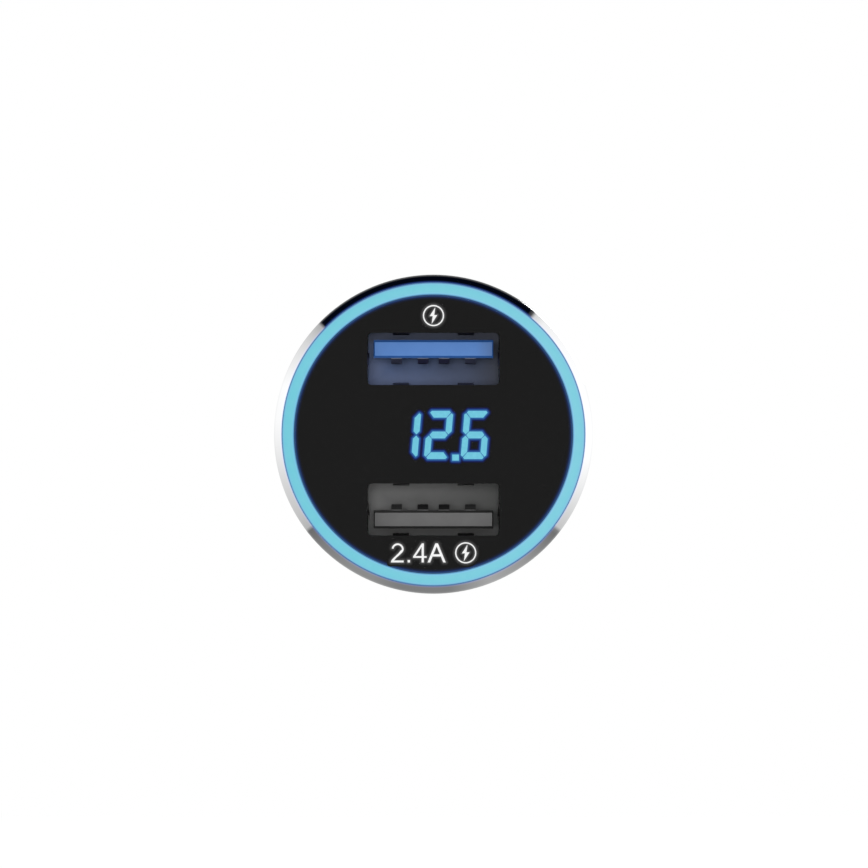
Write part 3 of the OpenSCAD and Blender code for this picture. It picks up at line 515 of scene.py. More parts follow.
# solder mask over copper tracks, and the cloth in the board under it
def boardLook(point, trackPitch):
    tracks = wired("ShaderNodeTexVoronoi", {
        "Vector": point, "Scale": 1 / (trackPitch * mm), "Randomness": 0.35}, "Distance",
        distance="CHEBYCHEV", feature="F2")
    lines = calc("PINGPONG", tracks * 3.0, 0.5) < 0.2
    weave = noise(point, 0.18)
    mask = blend(lines, (0.010, 0.085, 0.035), (0.018, 0.16, 0.062))
    mask = mottled(mask, (0.03, 0.2, 0.08), weave, 0.35, 0.7, 0.3)
    return dict(colour=mask, coat=0.3, coatRough=0.2,
                rough=remap(weave, 0.3, 0.7, 0.32, 0.45), normal=bump(lines + weave * 0.3, 0.03, 0.5))


# a can: printed sleeve, pale stripe on the minus side, bare scored top
def canLook(point, scoreWidth):
    facing = split(wired("ShaderNodeTexCoord", out="Normal"))
    end = abs(facing[1]) > 0.9
    wrinkle = noise(point, 0.5, 3, 0.6, stretch=(1, 0.3, 1))
    sleeve = blend(facing[0] > 0.86, (0.03, 0.05, 0.16), (0.62, 0.64, 0.66))
    sleeve = mottled(sleeve, (0.08, 0.11, 0.26), wrinkle, 0.4, 0.7, 0.15)
    score = abs(split(point)[0]) < scoreWidth / 2 * mm
    bare = blend(score, (0.72, 0.73, 0.74), (0.35, 0.35, 0.36))
    return dict(colour=blend(end, sleeve, bare), metal=end, rough=0.42 - wrinkle * 0.2,
                normal=bump(wrinkle, 0.01, 0.3))


# sintered powder or filled resin: crumbs in the skin, and clouds of a second shade
def crumbLook(point, dark, pale, crumb, detail, cloud, rough, depth, strength):
    crumbs = noise(point, crumb, detail, 0.7)
    shade = mottled(dark, pale, noise(point, cloud, 3), 0.3, 0.7, 1)
    return dict(colour=shade, rough=remap(crumbs, 0.3, 0.7, *rough),
                normal=bump(crumbs, depth, strength))


# a surface fuse: ceramic body between metal ends
def ceramicLook(point, bodyLength):
    ends = abs(split(point)[0]) > bodyLength / 2 * mm
    cloud = noise(point, 0.3, 3)
    body = mottled((0.72, 0.7, 0.62), (0.58, 0.55, 0.47), cloud, 0.3, 0.7, 0.4)
    return dict(colour=blend(ends, body, (0.7, 0.7, 0.69)), metal=ends,
                rough=remap(cloud, 0.3, 0.7, 0.25, 0.4), normal=bump(cloud, 0.006, 0.4))


# what each material slot is finished with
recipes = {
    "polished_metal": (turnedMetal, dict(
        colour=(0.9, 0.905, 0.91), rough=0.014, lines=0.3, depth=0.0005, smudge=0.02, spill=spill)),
    "light_guide": (ringGuide, {}),
    "smoked_panel": (smokedPanel, {}),
    "black_plastic": (mouldedPlastic, dict(
        colour=(0.016, 0.016, 0.017), rough=0.5, grain=0.12, depth=0.01)),
    "lit_cells": (litCells, {}),
    "tinned_metal": (rolledMetal, dict(colour=(0.74, 0.74, 0.72), rough=0.28, grain=(1, 0.1, 1))),
    "circuit_board": (boardLook, dict(trackPitch=1.5)),
    "screw_steel": (rolledMetal, dict(colour=(0.66, 0.66, 0.64), rough=0.3)),
    "contact_gold": (rolledMetal, dict(colour=(0.83, 0.63, 0.28), rough=0.22, grain=(1, 0.05, 1))),
    "can_aluminium": (canLook, dict(scoreWidth=0.24)),
    "ferrite": (crumbLook, dict(
        dark=(0.045, 0.045, 0.05), pale=(0.09, 0.09, 0.095), crumb=0.08, detail=4, cloud=1.2,
        rough=(0.5, 0.75), depth=0.02, strength=0.6)),
    "chip_plastic": (crumbLook, dict(
        dark=(0.012, 0.012, 0.013), pale=(0.024, 0.024, 0.026), crumb=0.06, detail=3, cloud=1.5,
        rough=(0.45, 0.62), depth=0.01, strength=0.5)),
    "pale_ceramic": (ceramicLook, dict(bodyLength=2.2)),
    "housing_plastic": (mouldedPlastic, dict(
        colour=(0.013, 0.013, 0.014), rough=0.36, grain=0.2, depth=0.022, seam=0.07)),
    "plated_metal": (turnedMetal, dict(
        colour=(0.76, 0.755, 0.74), rough=0.17, lines=0.22, depth=0.008, smudge=0.1)),
    "plated_contact": (turnedMetal, dict(
        colour=(0.74, 0.72, 0.67), rough=0.15, lines=0.18, depth=0.008, smudge=0.12)),
    "spring_steel": (rolledMetal, dict(colour=(0.6, 0.6, 0.6), rough=0.25)),
    "sheet_brass": (rolledMetal, dict(
        colour=(0.74, 0.55, 0.24), rough=0.3, grain=(1, 0.08, 1), stain=(0.3, 0.16, 0.08))),
    "port_steel": (shellLook, {}),
    "port_contact": (portStrip, {}),
    "blue_plastic": (portPlastic, dict(
        tongue=screen(92, 136, 202), edge=screen(40, 94, 168), depthShadeLeft=(0.155, 0.22, 0.41),
        depthShadeRight=(0.1, 0.107, 0.13), paintedWallLight=(0.4, 0.46, 0.72), beyond=(0.19, 0.2, 0.25),
        endShade=0.45)),
    "grey_plastic": (portPlastic, dict(
        tongue=grey(104), edge=grey(10), depthShadeLeft=(0.24, 0.24, 0.24),
        depthShadeRight=(0.145, 0.148, 0.145), paintedWallLight=(0.52, 0.52, 0.52), beyond=(0.22, 0.22, 0.22))),
    "lamp_lens": (lampLens, dict(lensTo=-11.15)),
    "leaf_steel": (leafLook, dict(rubFrom=10.3, rubTo=10.85)),
}
finishes = {name: newMaterial(name, look, **settings) for name, (look, settings) in recipes.items()}
for name, node in nodes.items():
    node.data.materials.clear()
    node.data.materials.append(finishes[slotOf[name]])


# a finished mesh as a piece of the plug, its doubles merged and its faces turned outwards
def shownPiece(name, mesh, material, body="housing"):
    shape = bmesh.new()
    shape.from_mesh(mesh)
    bmesh.ops.remove_doubles(shape, verts=shape.verts, dist=0.0005 * mm)
    bmesh.ops.recalc_face_normals(shape, faces=shape.faces)
    shape.to_mesh(mesh)
    shape.free()
    mesh.materials.clear()
    mesh.materials.append(material)
    piece = placed(name, mesh)
    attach(piece, body)
    return piece


# a Geometry Nodes tree whose named inputs are its sizes, in metres, and its counts
def newTree(name, sizes):
    tree = bpy.data.node_groups.new(name, "GeometryNodeTree")
    for label, kind in {"Geometry": "Geometry", **sizes, "Material": "Material"}.items():
        tree.interface.new_socket(label, in_out="INPUT", socket_type="NodeSocket" + kind)
    tree.interface.new_socket("Geometry", in_out="OUTPUT", socket_type="NodeSocketGeometry")
    Wire.tree = tree
    return {socket.name: Wire(socket) for socket in addNode("NodeGroupInput").outputs}


def endTree(given, geometry):
    smooth = wired("GeometryNodeSetShadeSmooth", {"Geometry": geometry})
    plain = wired("GeometryNodeRealizeInstances", {"Geometry": smooth})
    coloured = wired("GeometryNodeSetMaterial", {"Geometry": plain, "Material": given["Material"]})
    addNode("NodeGroupOutput", {"Geometry": coloured})
    return Wire.tree


# the plain mesh of a holder, which goes, and its modifiers with it
def plainMesh(name, holder):
    bpy.context.view_layer.update()
    mesh = bpy.data.meshes.new_from_object(holder.evaluated_get(bpy.context.evaluated_depsgraph_get()))
    holder.modifiers.clear()
    bpy.data.objects.remove(holder)
    mesh.name = name
    return mesh


# the mesh that a tree makes of a start mesh
def grownMesh(name, tree, start, sizes, material):
    holder = placed(name + "Start", start)
    modifier = holder.modifiers.new(name, "NODES")
    modifier.node_group = tree
    values = {**sizes, "Material": material}
    for item in tree.interface.items_tree:
        if item.in_out == "INPUT" and item.name in values:
            modifier[item.identifier] = values[item.name]
    return plainMesh(name, holder)


# a line of points in millimetres on the plug's own axes, as a start mesh
def lineMesh(name, points, closed=False):
    edges = [(i, i + 1) for i in range(len(points) - 1)] + ([(len(points) - 1, 0)] if closed else [])
    mesh = bpy.data.meshes.new(name + "Line")
    mesh.from_pydata([scaled(point, mm) for point in points], edges, [])
    return mesh


stripSizes = {"Width": "Float", "Thickness": "Float", "Corner": "Float"}


# sweeps a strip or a wire along a curve; a wire's corner radius is half its width
def swept(curve, given):
    outline = wired("GeometryNodeCurvePrimitiveQuadrilateral", {
        "Width": given["Thickness"], "Height": given["Width"]})
    outline = wired("GeometryNodeFilletCurve", {
        "Curve": outline, "Count": 4, "Radius": given["Corner"], "Limit Radius": True}, mode="POLY")
    return wired("GeometryNodeCurveToMesh", {
        "Curve": curve, "Profile Curve": outline, "Fill Caps": True})


def stripTree():
    given = newTree("strip", stripSizes)
    curve = wired("GeometryNodeMeshToCurve", {"Mesh": given["Geometry"]})
    curve = wired("GeometryNodeSetCurveNormal", {"Curve": curve}, mode="Z_UP")
    return endTree(given, swept(curve, given))


# places round the plug's axis
def roundAxis(radius, along, turn):
    return wired("ShaderNodeCombineXYZ", {
        0: radius * calc("COSINE", turn), 1: along, 2: radius * calc("SINE", turn)})


# a coil spring round the plug's axis, whose pitch dies away over the turns at its two ends
def springTree():
    given = newTree("spring", {"Radius": "Float", "Start": "Float", "End": "Float", "Turns": "Float",
                               "Ease": "Float", "Steps": "Int", **stripSizes})
    turns, ease = given["Turns"], given["Ease"]
    line = wired("GeometryNodeMeshLine", {"Count": given["Steps"] + 1})
    curve = wired("GeometryNodeMeshToCurve", {"Mesh": line})
    done = wired("GeometryNodeInputIndex") / given["Steps"] * turns

    def risen(part):
        slow = calc("MINIMUM", part, ease)
        return slow * slow / (ease * 2) + (part - slow)

    # from 0 at the first end to the turns less one ease at the other
    rise = risen(done) - risen(turns - done) - done + (turns - ease * 0.5)
    height = given["Start"] + rise / (turns - ease) * (given["End"] - given["Start"])
    where = roundAxis(given["Radius"], height, done * (2 * math.pi))
    curve = wired("GeometryNodeSetPosition", {"Geometry": curve, "Position": where})
    return endTree(given, swept(curve, given))


# solder: a hollow-sided cone round each point, foot on the board, pointing towards the tip.
# The points' own "reach" is the foot's half width, the height and the foot's half depth
def solderTree():
    given = newTree("solder", {"Sides": "Int", "Steps": "Int", "Top": "Float"})
    cone = wired("GeometryNodeMeshCone", {
        "Vertices": given["Sides"], "Side Segments": given["Steps"], "Fill Segments": 2,
        "Radius Top": 1.0, "Radius Bottom": 1.0, "Depth": 1.0}, "Mesh")
    x, y, z = split(wired("GeometryNodeInputPosition"))
    down = calc("SUBTRACT", 1, z, clamp=True)
    wide = given["Top"] + down ** 2.2 * (1 - given["Top"])
    where = wired("ShaderNodeCombineXYZ", {0: x * wide, 1: z, 2: y * wide})
    drop = wired("GeometryNodeSetPosition", {"Geometry": cone, "Position": where})
    reach = wired("GeometryNodeInputNamedAttribute", {"Name": "reach"}, data_type="FLOAT_VECTOR")
    drops = wired("GeometryNodeInstanceOnPoints", {
        "Points": given["Geometry"], "Instance": drop, "Scale": reach})
    return endTree(given, drops)


# a closed outline turned round the plug's axis: x is the radius, y the place along the axis.
# Where the outline's "grooved" is 1, round grooves are cut along the axis, their middles a half
# radius outside
def turnedTree():
    given = newTree("turned", {"Points": "Int", "Steps": "Int", "Grooves": "Int",
                               "Groove radius": "Float"})
    rows = given["Points"] + 1
    grid = wired("GeometryNodeMeshGrid", {"Vertices X": given["Steps"] + 1, "Vertices Y": rows}, "Mesh")
    index = wired("GeometryNodeInputIndex")
    row = index % rows % given["Points"]

    def onOutline(value, kind):
        inputs = {"Geometry": given["Geometry"], "Value": value, "Index": row}
        return wired("GeometryNodeSampleIndex", inputs, data_type=kind)

    outline = onOutline(wired("GeometryNodeInputPosition"), "FLOAT_VECTOR")
    radius, along = split(outline)[:2]
    grooved = wired("GeometryNodeInputNamedAttribute", {"Name": "grooved"}, data_type="FLOAT")
    marked = onOutline(grooved, "FLOAT")
    side = given["Groove radius"]
    share = calc("FLOOR", index / rows) / given["Steps"] * given["Grooves"]
    groove = calc("FLOOR", share + 0.5)
    off = share - groove
    off = remap(side > 0, 0, 1, off, off * 2 * abs(off))    # steps crowd together at the grooves
    perGroove = 2 * math.pi / given["Grooves"]
    turn = (groove + off) * perGroove
    off = off * perGroove * radius
    depth = calc("SQRT", calc("MAXIMUM", side * side - off * off, 0)) - side * 0.5
    radius = radius - calc("MAXIMUM", depth, 0) * marked
    where = roundAxis(radius, along, turn)
    body = wired("GeometryNodeSetPosition", {"Geometry": grid, "Position": where})
    body = wired("GeometryNodeMergeByDistance", {"Geometry": body, "Distance": 0.0001 * mm})
    return endTree(given, body)


# outline corners as (radius, height, rounding); each straight run keeps a point close to its rounds
def roundedOutline(corners, steps=4, runOut=1.4):
    points = []
    for i, (x, y, bend) in enumerate(corners):
        here = np.array((x, y), float)
        if not bend:
            points.append(here)
            continue
        before, after = (np.array(corners[(i + k) % len(corners)][:2], float) - here for k in (-1, 1))
        toBefore, toAfter = before / np.linalg.norm(before), after / np.linalg.norm(after)
        both = toBefore + toAfter
        half = math.acos(np.clip(toBefore @ toAfter, -1, 1)) / 2
        run = bend / math.tan(half)
        middle = here + both / np.linalg.norm(both) * bend / math.sin(half)
        start, end = here + toBefore * run - middle, here + toAfter * run - middle
        points.append(here + toBefore * run * runOut)
        for k in range(steps + 1):
            arm = start * (1 - k / steps) + end * k / steps
            points.append(middle + arm / np.linalg.norm(arm) * bend)
        points.append(here + toAfter * run * runOut)
    return [(x, -y, 0) for x, y in points]


print("head sleeve")
sleeve = {
    # radius, height from the stop face, rounding
    "corners": [(14.555, 4.6, 0.03), (14.955, 4.6, 0.06), (15.1, 4.75, 0.1), (15.1, 16.25, 0.55),
                (14.355, 17.0, 0.015), (14.355, 16.1, 0.03), (14.555, 16.1, 0.03)],
    "steps": 160, "outside": 15, "grooves": {"count": 1, "radius": 0.0, "from": 0, "to": 0},
}
turned = turnedTree()


def turnedPiece(name, node, s):
    outline = roundedOutline(s["corners"])
    grooves = s["grooves"]
    start = lineMesh(name, outline, True)
    layer = start.attributes.new("grooved", "FLOAT", "POINT")
    layer.data.foreach_set("value", [float(grooves["from"] < -y < grooves["to"] and x > s["outside"])
                                     for x, y, z in outline])
    sizes = {"Points": len(outline), "Steps": s["steps"], "Grooves": grooves["count"],
             "Groove radius": grooves["radius"] * mm}
    finish = finishes[slotOf[node]]
    piece = shownPiece(name, grownMesh(name, turned, start, sizes, finish), finish)
    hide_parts(node)


turnedPiece("headSleeve", "head_sleeve", sleeve)

print("nose cap")
nose = {
    "corners": [(3.31, -39.4, 0.04), (5.05, -39.4, 0.12), (5.35, -39.1, 0.12), (9.7, -35.6, 0.1),
                (9.7, -35.302, 0), (9.7, -35.298, 0), (9.7, -33.602, 0), (9.7, -33.598, 0),
                (9.7, -33.3, 0.12), (9.4, -33.0, 0.12), (8.25, -33.0, 0.04), (8.25, -36.0, 0.03),
                (3.31, -36.0, 0.03)],
    "steps": 480, "outside": 9.5, "grooves": {"count": 24, "radius": 0.3, "from": -35.3, "to": -33.6},
}
turnedPiece("noseCap", "nose_ring", nose)

print("sprung contacts")
leaf = {
    "hookX": 8.66, "hookY": 29.6, "hookMean": 0.89, "hookFrom": 110, "crown": 10.8, "crownY": 18.4,
    "tailX": 7.7, "tailY": 14.2, "endY": 12.6, "width": 5.0, "thickness": 0.4, "corner": 0.09,
    "hookSteps": 21, "bowSteps": 24, "tailSteps": 18,
}


def stripValues(width, thickness, corner):
    return {"Width": width * mm, "Thickness": thickness * mm, "Corner": corner * mm}


# round the hook, out to the crown, and back in to the tail
def leafLine(hand):
    s = leaf
    turns = np.radians(np.linspace(s["hookFrom"], 360, s["hookSteps"] + 1))
    points = [(s["hookX"] + s["hookMean"] * math.cos(t), s["hookY"] - s["hookMean"] * math.sin(t))
              for t in turns]
    foot = s["hookX"] + s["hookMean"]
    for i in range(1, s["bowSteps"] + 1):
        u = i / s["bowSteps"]
        points.append((foot + (s["crown"] - foot) * math.sin(math.pi / 2 * u),
                       s["hookY"] + (s["crownY"] - s["hookY"]) * u))
    for i in range(1, s["tailSteps"] + 1):
        u = i / s["tailSteps"]
        points.append((s["crown"] + (s["tailX"] - s["crown"]) * (1 - math.cos(math.pi * u)) / 2,
                       s["crownY"] + (s["tailY"] - s["crownY"]) * u))
    points.append((s["tailX"], s["endY"]))
    return [(hand * x, y, 0) for x, y in points]


strip = stripTree()
leafSizes = stripValues(leaf["width"], leaf["thickness"], leaf["corner"])
for side, hand in (("left", -1), ("right", 1)):
    name = side + "Leaf"
    mesh = grownMesh(name, strip, lineMesh(name, leafLine(hand)), leafSizes, finishes["leaf_steel"])
    piece = shownPiece(name, mesh, finishes["leaf_steel"], side + "_side_contact")
    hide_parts(side + "_side_contact")

spring = {
    "Radius": 3.2 * mm, "Start": 34.45 * mm, "End": 28.63 * mm, "Turns": 4.5, "Ease": 1.0,
    "Steps": 216, **stripValues(0.5, 0.5, 0.25),
}
start = bpy.data.meshes.new("springStart")
mesh = grownMesh("tipSpring", springTree(), start, spring, finishes["spring_steel"])
piece = shownPiece("tipSpring", mesh, finishes["spring_steel"])
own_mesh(piece)
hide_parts("contact_spring")

print("solder and winding")
solder = {
    "cone": {"Sides": 18, "Steps": 5, "Top": 0.42}, "gap": 0.006,
    # half width, half depth and height of a joint, and how far in from the piece's edge it stands
    "displayPin": ((0.5, 0.5, 0.6), 0.22), "linkPin": ((0.62, 0.62, 0.6), 0.3),
    "contact": ((0.85, 0.42, 0.5), 0.1), "shell": ((0.5, 1.25, 0.6), 0.15),
}


def corners(node):
    return (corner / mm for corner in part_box(node))


# the place of each joint, and its half width, half depth and height
def solderJoints():
    lampBack, portBack = (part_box(board)[1].y / mm for board in ("lamp_board", "port_board"))
    joints = []
    reach, inset = solder["displayPin"]
    low, high = corners("display_pins")
    for x in np.linspace(low.x + inset, high.x - inset, 5):
        joints += [((x, lampBack, z), reach) for z in (low.z + inset, high.z - inset)]
    reach, inset = solder["linkPin"]
    low, high = corners("link_pins")
    joints += [((x, portBack, 0), reach) for x in np.linspace(low.x + inset, high.x - inset, 4)]
    for side in ("upper", "lower"):
        reach, inset = solder["contact"]
        for i in range(1, 5):
            low, high = corners(f"{side}_port_contact_{i}")
            z = high.z - inset if side == "upper" else low.z + inset
            joints.append((((low.x + high.x) / 2, portBack, z), reach))
        reach, inset = solder["shell"]
        low, high = corners(side + "_port_shell")
        joints += [((x, portBack, (low.z + high.z) / 2), reach) for x in (low.x + inset, high.x - inset)]
    return joints


joints = solderJoints()
start = bpy.data.meshes.new("solderStart")
start.from_pydata([(x * mm, (y + solder["gap"]) * mm, z * mm) for (x, y, z), reach in joints], [], [])
layer = start.attributes.new("reach", "FLOAT_VECTOR", "POINT")
layer.data.foreach_set("vector", [c * mm for place, (wide, deep, tall) in joints
                                  for c in (wide, tall, deep)])
mesh = grownMesh("boardSolder", solderTree(), start, solder["cone"], finishes["tinned_metal"])
shownPiece("boardSolder", mesh, finishes["tinned_metal"])

winding = {"inner": 1.92, "outer": 2.58, "turns": 3, "layers": 3, "wire": 0.2, "bed": 3.2, "steps": 24}


# wire laid in the coil's groove, a spiral outwards and back again in each layer
def windingLine():
    s = winding
    low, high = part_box("inductor")
    middle = (low.y + high.y) / 2 / mm
    count = s["turns"] * s["steps"]
    points = []
    for layer in range(s["layers"]):
        for i in range(count + 1):
            share = 1 - i / count if layer % 2 else i / count
            turn = 2 * math.pi * (i / s["steps"] + layer * s["turns"])
            radius = s["inner"] + (s["outer"] - s["inner"]) * share
            points.append((radius * math.cos(turn), middle + radius * math.sin(turn),
                           s["bed"] + s["wire"] * (layer + 0.5 + 0.5 * i / count)))
    return points


copper = newMaterial("enamelled_copper", rolledMetal, colour=(0.5, 0.17, 0.06), rough=0.28,
                     stain=(0.32, 0.1, 0.04), stainAmount=0.4)
wireSizes = stripValues(winding["wire"], winding["wire"], winding["wire"] / 2)
mesh = grownMesh("coilWinding", strip, lineMesh("coilWinding", windingLine()), wireSizes, copper)
shownPiece("coilWinding", mesh, copper)

# thicknesses of what is lit or printed on the panel, and the mesh width of a film
skins = {"print": 0.03, "film": 0.01, "cell": 0.05}


# flat shapes standing on the panel; loops are in face millimetres, a loop in another is a hole
def printedPiece(name, loops, material):
    thick = skins["print"]
    curve = bpy.data.curves.new(name, "CURVE")
    curve.dimensions = "2D"
    curve.fill_mode = "BOTH"
    curve.extrude = thick / 2
    for loop in loops:
        spline = curve.splines.new("POLY")
        spline.points.add(len(loop) - 1)
        for point, (x, z) in zip(spline.points, loop):
            point.co = (x, z, 0, 1)
        spline.use_cyclic_u = True
    mesh = plainMesh(name, placed(name + "Outline", curve))
    for vertex in mesh.vertices:
        x, z, out = vertex.co
        vertex.co = (x * mm, faceY - (thick / 2 + out) * mm, z * mm)
    shownPiece(name, mesh, material)


def edgeDistance(places, loops):
    best = np.full(len(places), np.inf)
    for loop in loops:
        ends = np.array(loop, float)
        for start, end in zip(ends, np.roll(ends, -1, axis=0)):
            run = end - start
            share = np.clip(((places - start) @ run) / max(run @ run, 1e-12), 0, 1)
            best = np.minimum(best, np.linalg.norm(places - start - share[:, None] * run, axis=1))
    return best


# a thin film on the panel round lit shapes, as far out as its halo reaches; the halo is a painted glow
def glowFilm(name, loops, halo, material):
    reach, cell, thick = halo[-1][0], skins["cell"], skins["film"]
    every = np.array([point for loop in loops for point in loop])
    low, high = every.min(0) - reach, every.max(0) + reach
    wide, tall = (np.ceil((high - low) / cell) + 1).astype(int)
    gridX, gridZ = np.meshgrid(low[0] + cell * np.arange(wide), low[1] + cell * np.arange(tall))
    places = np.stack([gridX.ravel(), gridZ.ravel()], axis=1)
    away = edgeDistance(places, loops)
    near = (away < reach).reshape(tall, wide)
    keep = near[:-1, :-1] | near[1:, :-1] | near[:-1, 1:] | near[1:, 1:]
    # cells that touch only at a corner are joined, so that the film stays one closed plate
    here, above, right, beyond = keep[:-1, :-1], keep[1:, :-1], keep[:-1, 1:], keep[1:, 1:]
    for row, column in zip(*np.nonzero((here == beyond) & (above == right) & (here != above))):
        keep[row:row + 2, column:column + 2] = True
    rows, columns = np.nonzero(keep)
    first = rows * wide + columns
    faces = np.stack([first, first + 1, first + wide + 1, first + wide], axis=1)
    used, faces = np.unique(faces, return_inverse=True)
    faces = faces.reshape(-1, 4)
    # the sheet once more behind itself, and walls between the edges that only one cell has
    count = len(used)
    edges = np.stack([faces, np.roll(faces, -1, axis=1)], axis=2).reshape(-1, 2)
    rim = edges[~np.isin(edges @ (count, 1), edges @ (1, count))]
    faces = np.vstack([faces, faces[:, ::-1] + count, np.hstack([rim[:, ::-1], rim + count])])
    mesh = bpy.data.meshes.new(name)
    mesh.from_pydata([(x * mm, faceY - out * mm, z * mm) for out in (thick, 0) for x, z in places[used]],
                     [], faces.tolist())
    layer = mesh.attributes.new("edgeGap", "FLOAT", "POINT")
    layer.data.foreach_set("value", np.tile(away[used], 2).astype(np.float32))
    shownPiece(name, mesh, material)


# light that fades out over the halo's stops, millimetres from the edge of a lit shape
def filmLook(point, halo):
    reach = halo[-1][0]
    share = wired("ShaderNodeAttribute", out="Fac", attribute_name="edgeGap") / reach
    glow = ramp(share, [(place / reach, colour) for place, colour in halo])
    return dict(colour=blend(remap(share, 0.3, 1), black, dustyPanel(point)),
                specular=0.35, rough=0.05, glow=glow, glowStrength=1.0)


def litLook(point, colour, core):
    cloud = noise(point, 0.35, 3)
    return dict(colour=grey(20), specular=0.2, rough=remap(cloud, 0.3, 0.7, 0.2, 0.3),
                glow=mottled(colour, core, cloud, 0.35, 0.65, 1), glowStrength=1.0)


# display: seven segments to a digit, on the same rule as the light cells behind the panel
display = {
    "places": [-2.545, 0.485, 3.955], "height": -0.07, "halfWide": 1.2, "halfTall": 2.28,
    "upright": 0.565, "level": 0.64, "cut": 0.33, "gap": 0.03, "lean": 5.0,
    "dot": (1.605, -2.14), "dotSize": (0.63, 0.57),
    "lit": ["bc", "abged", "afgecd"], "dots": [False, True, False],
    "colour": screen(108, 194, 218), "core": screen(114, 200, 222),
    "halo": [(0, screen(58, 110, 172)), (0.08, screen(48, 94, 156)), (0.15, screen(38, 70, 132)),
             (0.22, screen(22, 32, 92)), (0.29, screen(14, 17, 54)), (0.38, screen(6, 7, 14)),
             (0.44, black)],
}


def segmentOutlines():
    s = display
    w, h, cut, gap, half = s["halfWide"], s["halfTall"], s["cut"], s["gap"], s["level"] / 2
    inX, inZ = w - s["upright"], h - s["level"]
    midX = w - s["upright"] / 2
    top = [(-w + cut + gap, h), (w - cut - gap, h), (w - cut / 2 - 2 * gap, h - cut / 2),
           (inX - gap, inZ), (-inX + gap, inZ), (-w + cut / 2 + 2 * gap, h - cut / 2)]
    side = [(w - cut / 2, h - cut / 2 - 2 * gap), (w, h - cut - gap), (w, half + gap),
            (midX, 2 * gap), (inX, half + gap), (inX, inZ - gap)]
    middle = [(-midX + 2 * gap, 0), (-inX + gap, half), (inX - gap, half),
              (midX - 2 * gap, 0), (inX - gap, -half), (-inX + gap, -half)]
    shapes = {"a": (top, 1, 1), "d": (top, 1, -1), "b": (side, 1, 1), "c": (side, 1, -1),
              "f": (side, -1, 1), "e": (side, -1, -1), "g": (middle, 1, 1)}
    lean = math.tan(math.radians(s["lean"]))
    loops = []
    for place, lit, dot in zip(s["places"], s["lit"], s["dots"]):
        for letter in lit:
            shape, flipX, flipZ = shapes[letter]
            loops.append([(flipX * x + flipZ * z * lean + place, flipZ * z + s["height"])
                          for x, z in shape])
        if dot:
            x, z = place + s["dot"][0], s["height"] + s["dot"][1]
            a, b = s["dotSize"][0] / 2, s["dotSize"][1] / 2
            loops.append([(x - a, z - b), (x + a, z - b), (x + a, z + b), (x - a, z + b)])
    return loops


print("display")
segments = segmentOutlines()
segmentLight = newMaterial("segment_light", litLook, colour=display["colour"], core=display["core"])
segmentHalo = newMaterial("segment_halo", filmLook, halo=display["halo"])
printedPiece("displaySegments", segments, segmentLight)
glowFilm("displayHalo", segments, display["halo"], segmentHalo)

# marks: a plain lightning mark in a ring at each port, and the rating of the lower one in strokes,
# printed white with a painted glow and a painted halo
marks = {
    "rings": [(0, 11.22), (3.05, -11.22)], "outer": 1.0, "line": 0.118,
    "bolt": [(0.17, 0.78), (-0.36, -0.05), (-0.07, -0.05), (-0.17, -0.78), (0.36, 0.05), (0.07, 0.05)],
    "base": -12.125, "top": -10.325, "stroke": 0.16,
    "halo": [(0, grey(92)), (0.05, grey(80)), (0.09, grey(70)), (0.14, grey(57)), (0.18, grey(46)),
             (0.23, grey(34)), (0.28, grey(22)), (0.33, grey(11)), (0.38, black)],
}


def circle(x, z, radius, start=0.0, end=360.0, count=64):
    turns = [math.radians(start + (end - start) * i / count) for i in range(count + (end - start != 360))]
    return [(x + radius * math.cos(t), z + radius * math.sin(t)) for t in turns]


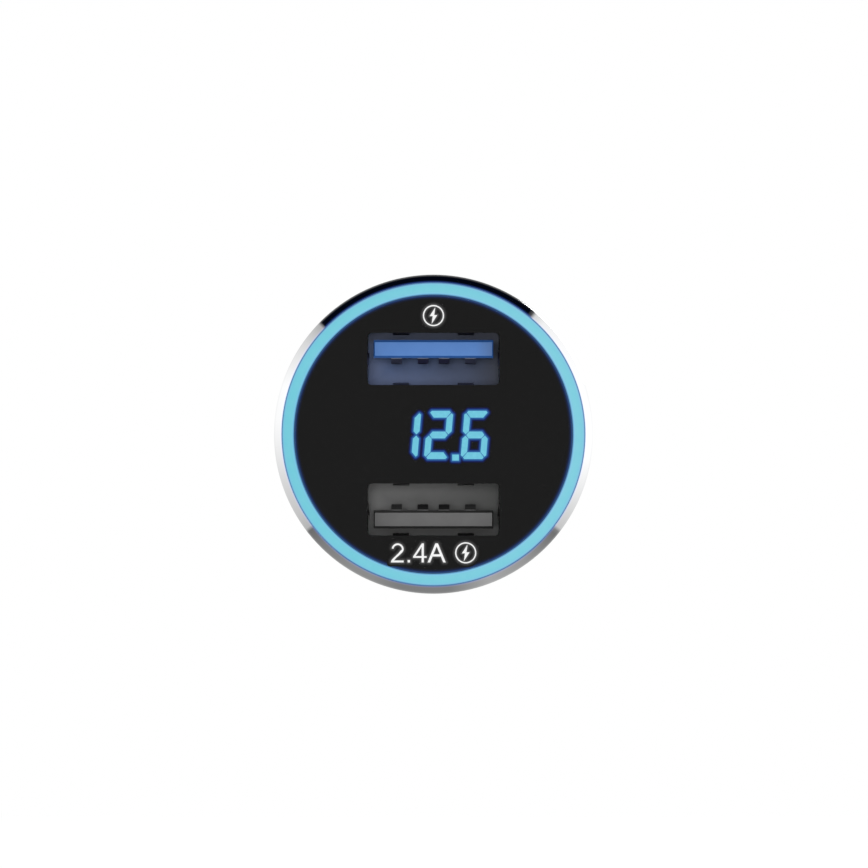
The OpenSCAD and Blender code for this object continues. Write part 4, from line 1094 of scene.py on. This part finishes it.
def twoLoops():
    base, stroke = marks["base"], marks["stroke"]
    bowl, x, left, right = 0.56, -3.385, -4.02, -2.825
    z, foot = marks["top"] - bowl, base + 0.18
    return [circle(x, z, bowl, 172, -8, 24)
            + [(-2.95, -11.17), (-3.18, -11.4), (-3.5, -11.67), (-3.74, foot)]
            + [(right, foot), (right, base), (left, base), (-4.0, -11.98), (-3.87, -11.8)]
            + [(-3.56, -11.5), (-3.29, -11.24), (-3.13, -11.03)]
            + circle(x, z, bowl - stroke, -4, 172, 24)]


def dotLoops():
    base, left, right, size = marks["base"], -2.445, -2.22, 0.225
    return [[(left, base), (right, base), (right, base + size), (left, base + size)]]


def fourLoops():
    base, top = marks["base"], marks["top"]
    stemLeft, stemRight, barLeft, barRight, barLow = -1.12, -0.91, -1.92, -0.65, -11.69
    barHigh = barLow + marks["stroke"]
    return [[(-1.1, top), (stemRight, top), (stemRight, barHigh), (barRight, barHigh),
             (barRight, barLow), (stemRight, barLow), (stemRight, base), (stemLeft, base),
             (stemLeft, barLow), (barLeft, barLow), (barLeft, barHigh - 0.02)],
            [(stemLeft, -10.66), (stemLeft, barHigh), (-1.69, barHigh)]]


def ampereLoops():
    tall = marks["top"] - marks["base"]
    middle, outer, inner, tip, barLow, barHigh = 0.3, 0.86, 0.625, 0.12, 0.56, 0.77
    slope = (outer - tip) / tall
    low, high = inner - slope * barLow, inner - slope * barHigh
    letter = [(outer, 0), (tip, tall), (-tip, tall), (-outer, 0), (-inner, 0), (-low, barLow),
              (low, barLow), (inner, 0)]
    hole = [(-high, barHigh), (high, barHigh), (0, inner / slope)]
    return [[(middle + a, marks["base"] + b) for a, b in loop] for loop in (letter, hole)]


print("marks")
# the white print glows: painted glow, with a painted halo round it
markGlowWhite = newMaterial("mark_white_painted_glow", litLook, colour=grey(240), core=grey(250))
markPaintedHalo = newMaterial("mark_painted_halo", filmLook, halo=marks["halo"])
markLoops = {"rating": twoLoops() + dotLoops() + fourLoops() + ampereLoops()}
for side, (x, z) in zip(("upper", "lower"), marks["rings"]):
    markLoops[side + "Bolt"] = [circle(x, z, marks["outer"]),
                                circle(x, z, marks["outer"] - marks["line"]),
                                [(x + a, z + b) for a, b in marks["bolt"]]]
for name, loops in markLoops.items():
    printedPiece(name + "Mark", loops, markGlowWhite)
    glowFilm(name + "Halo", loops, marks["halo"], markPaintedHalo)

print("done")
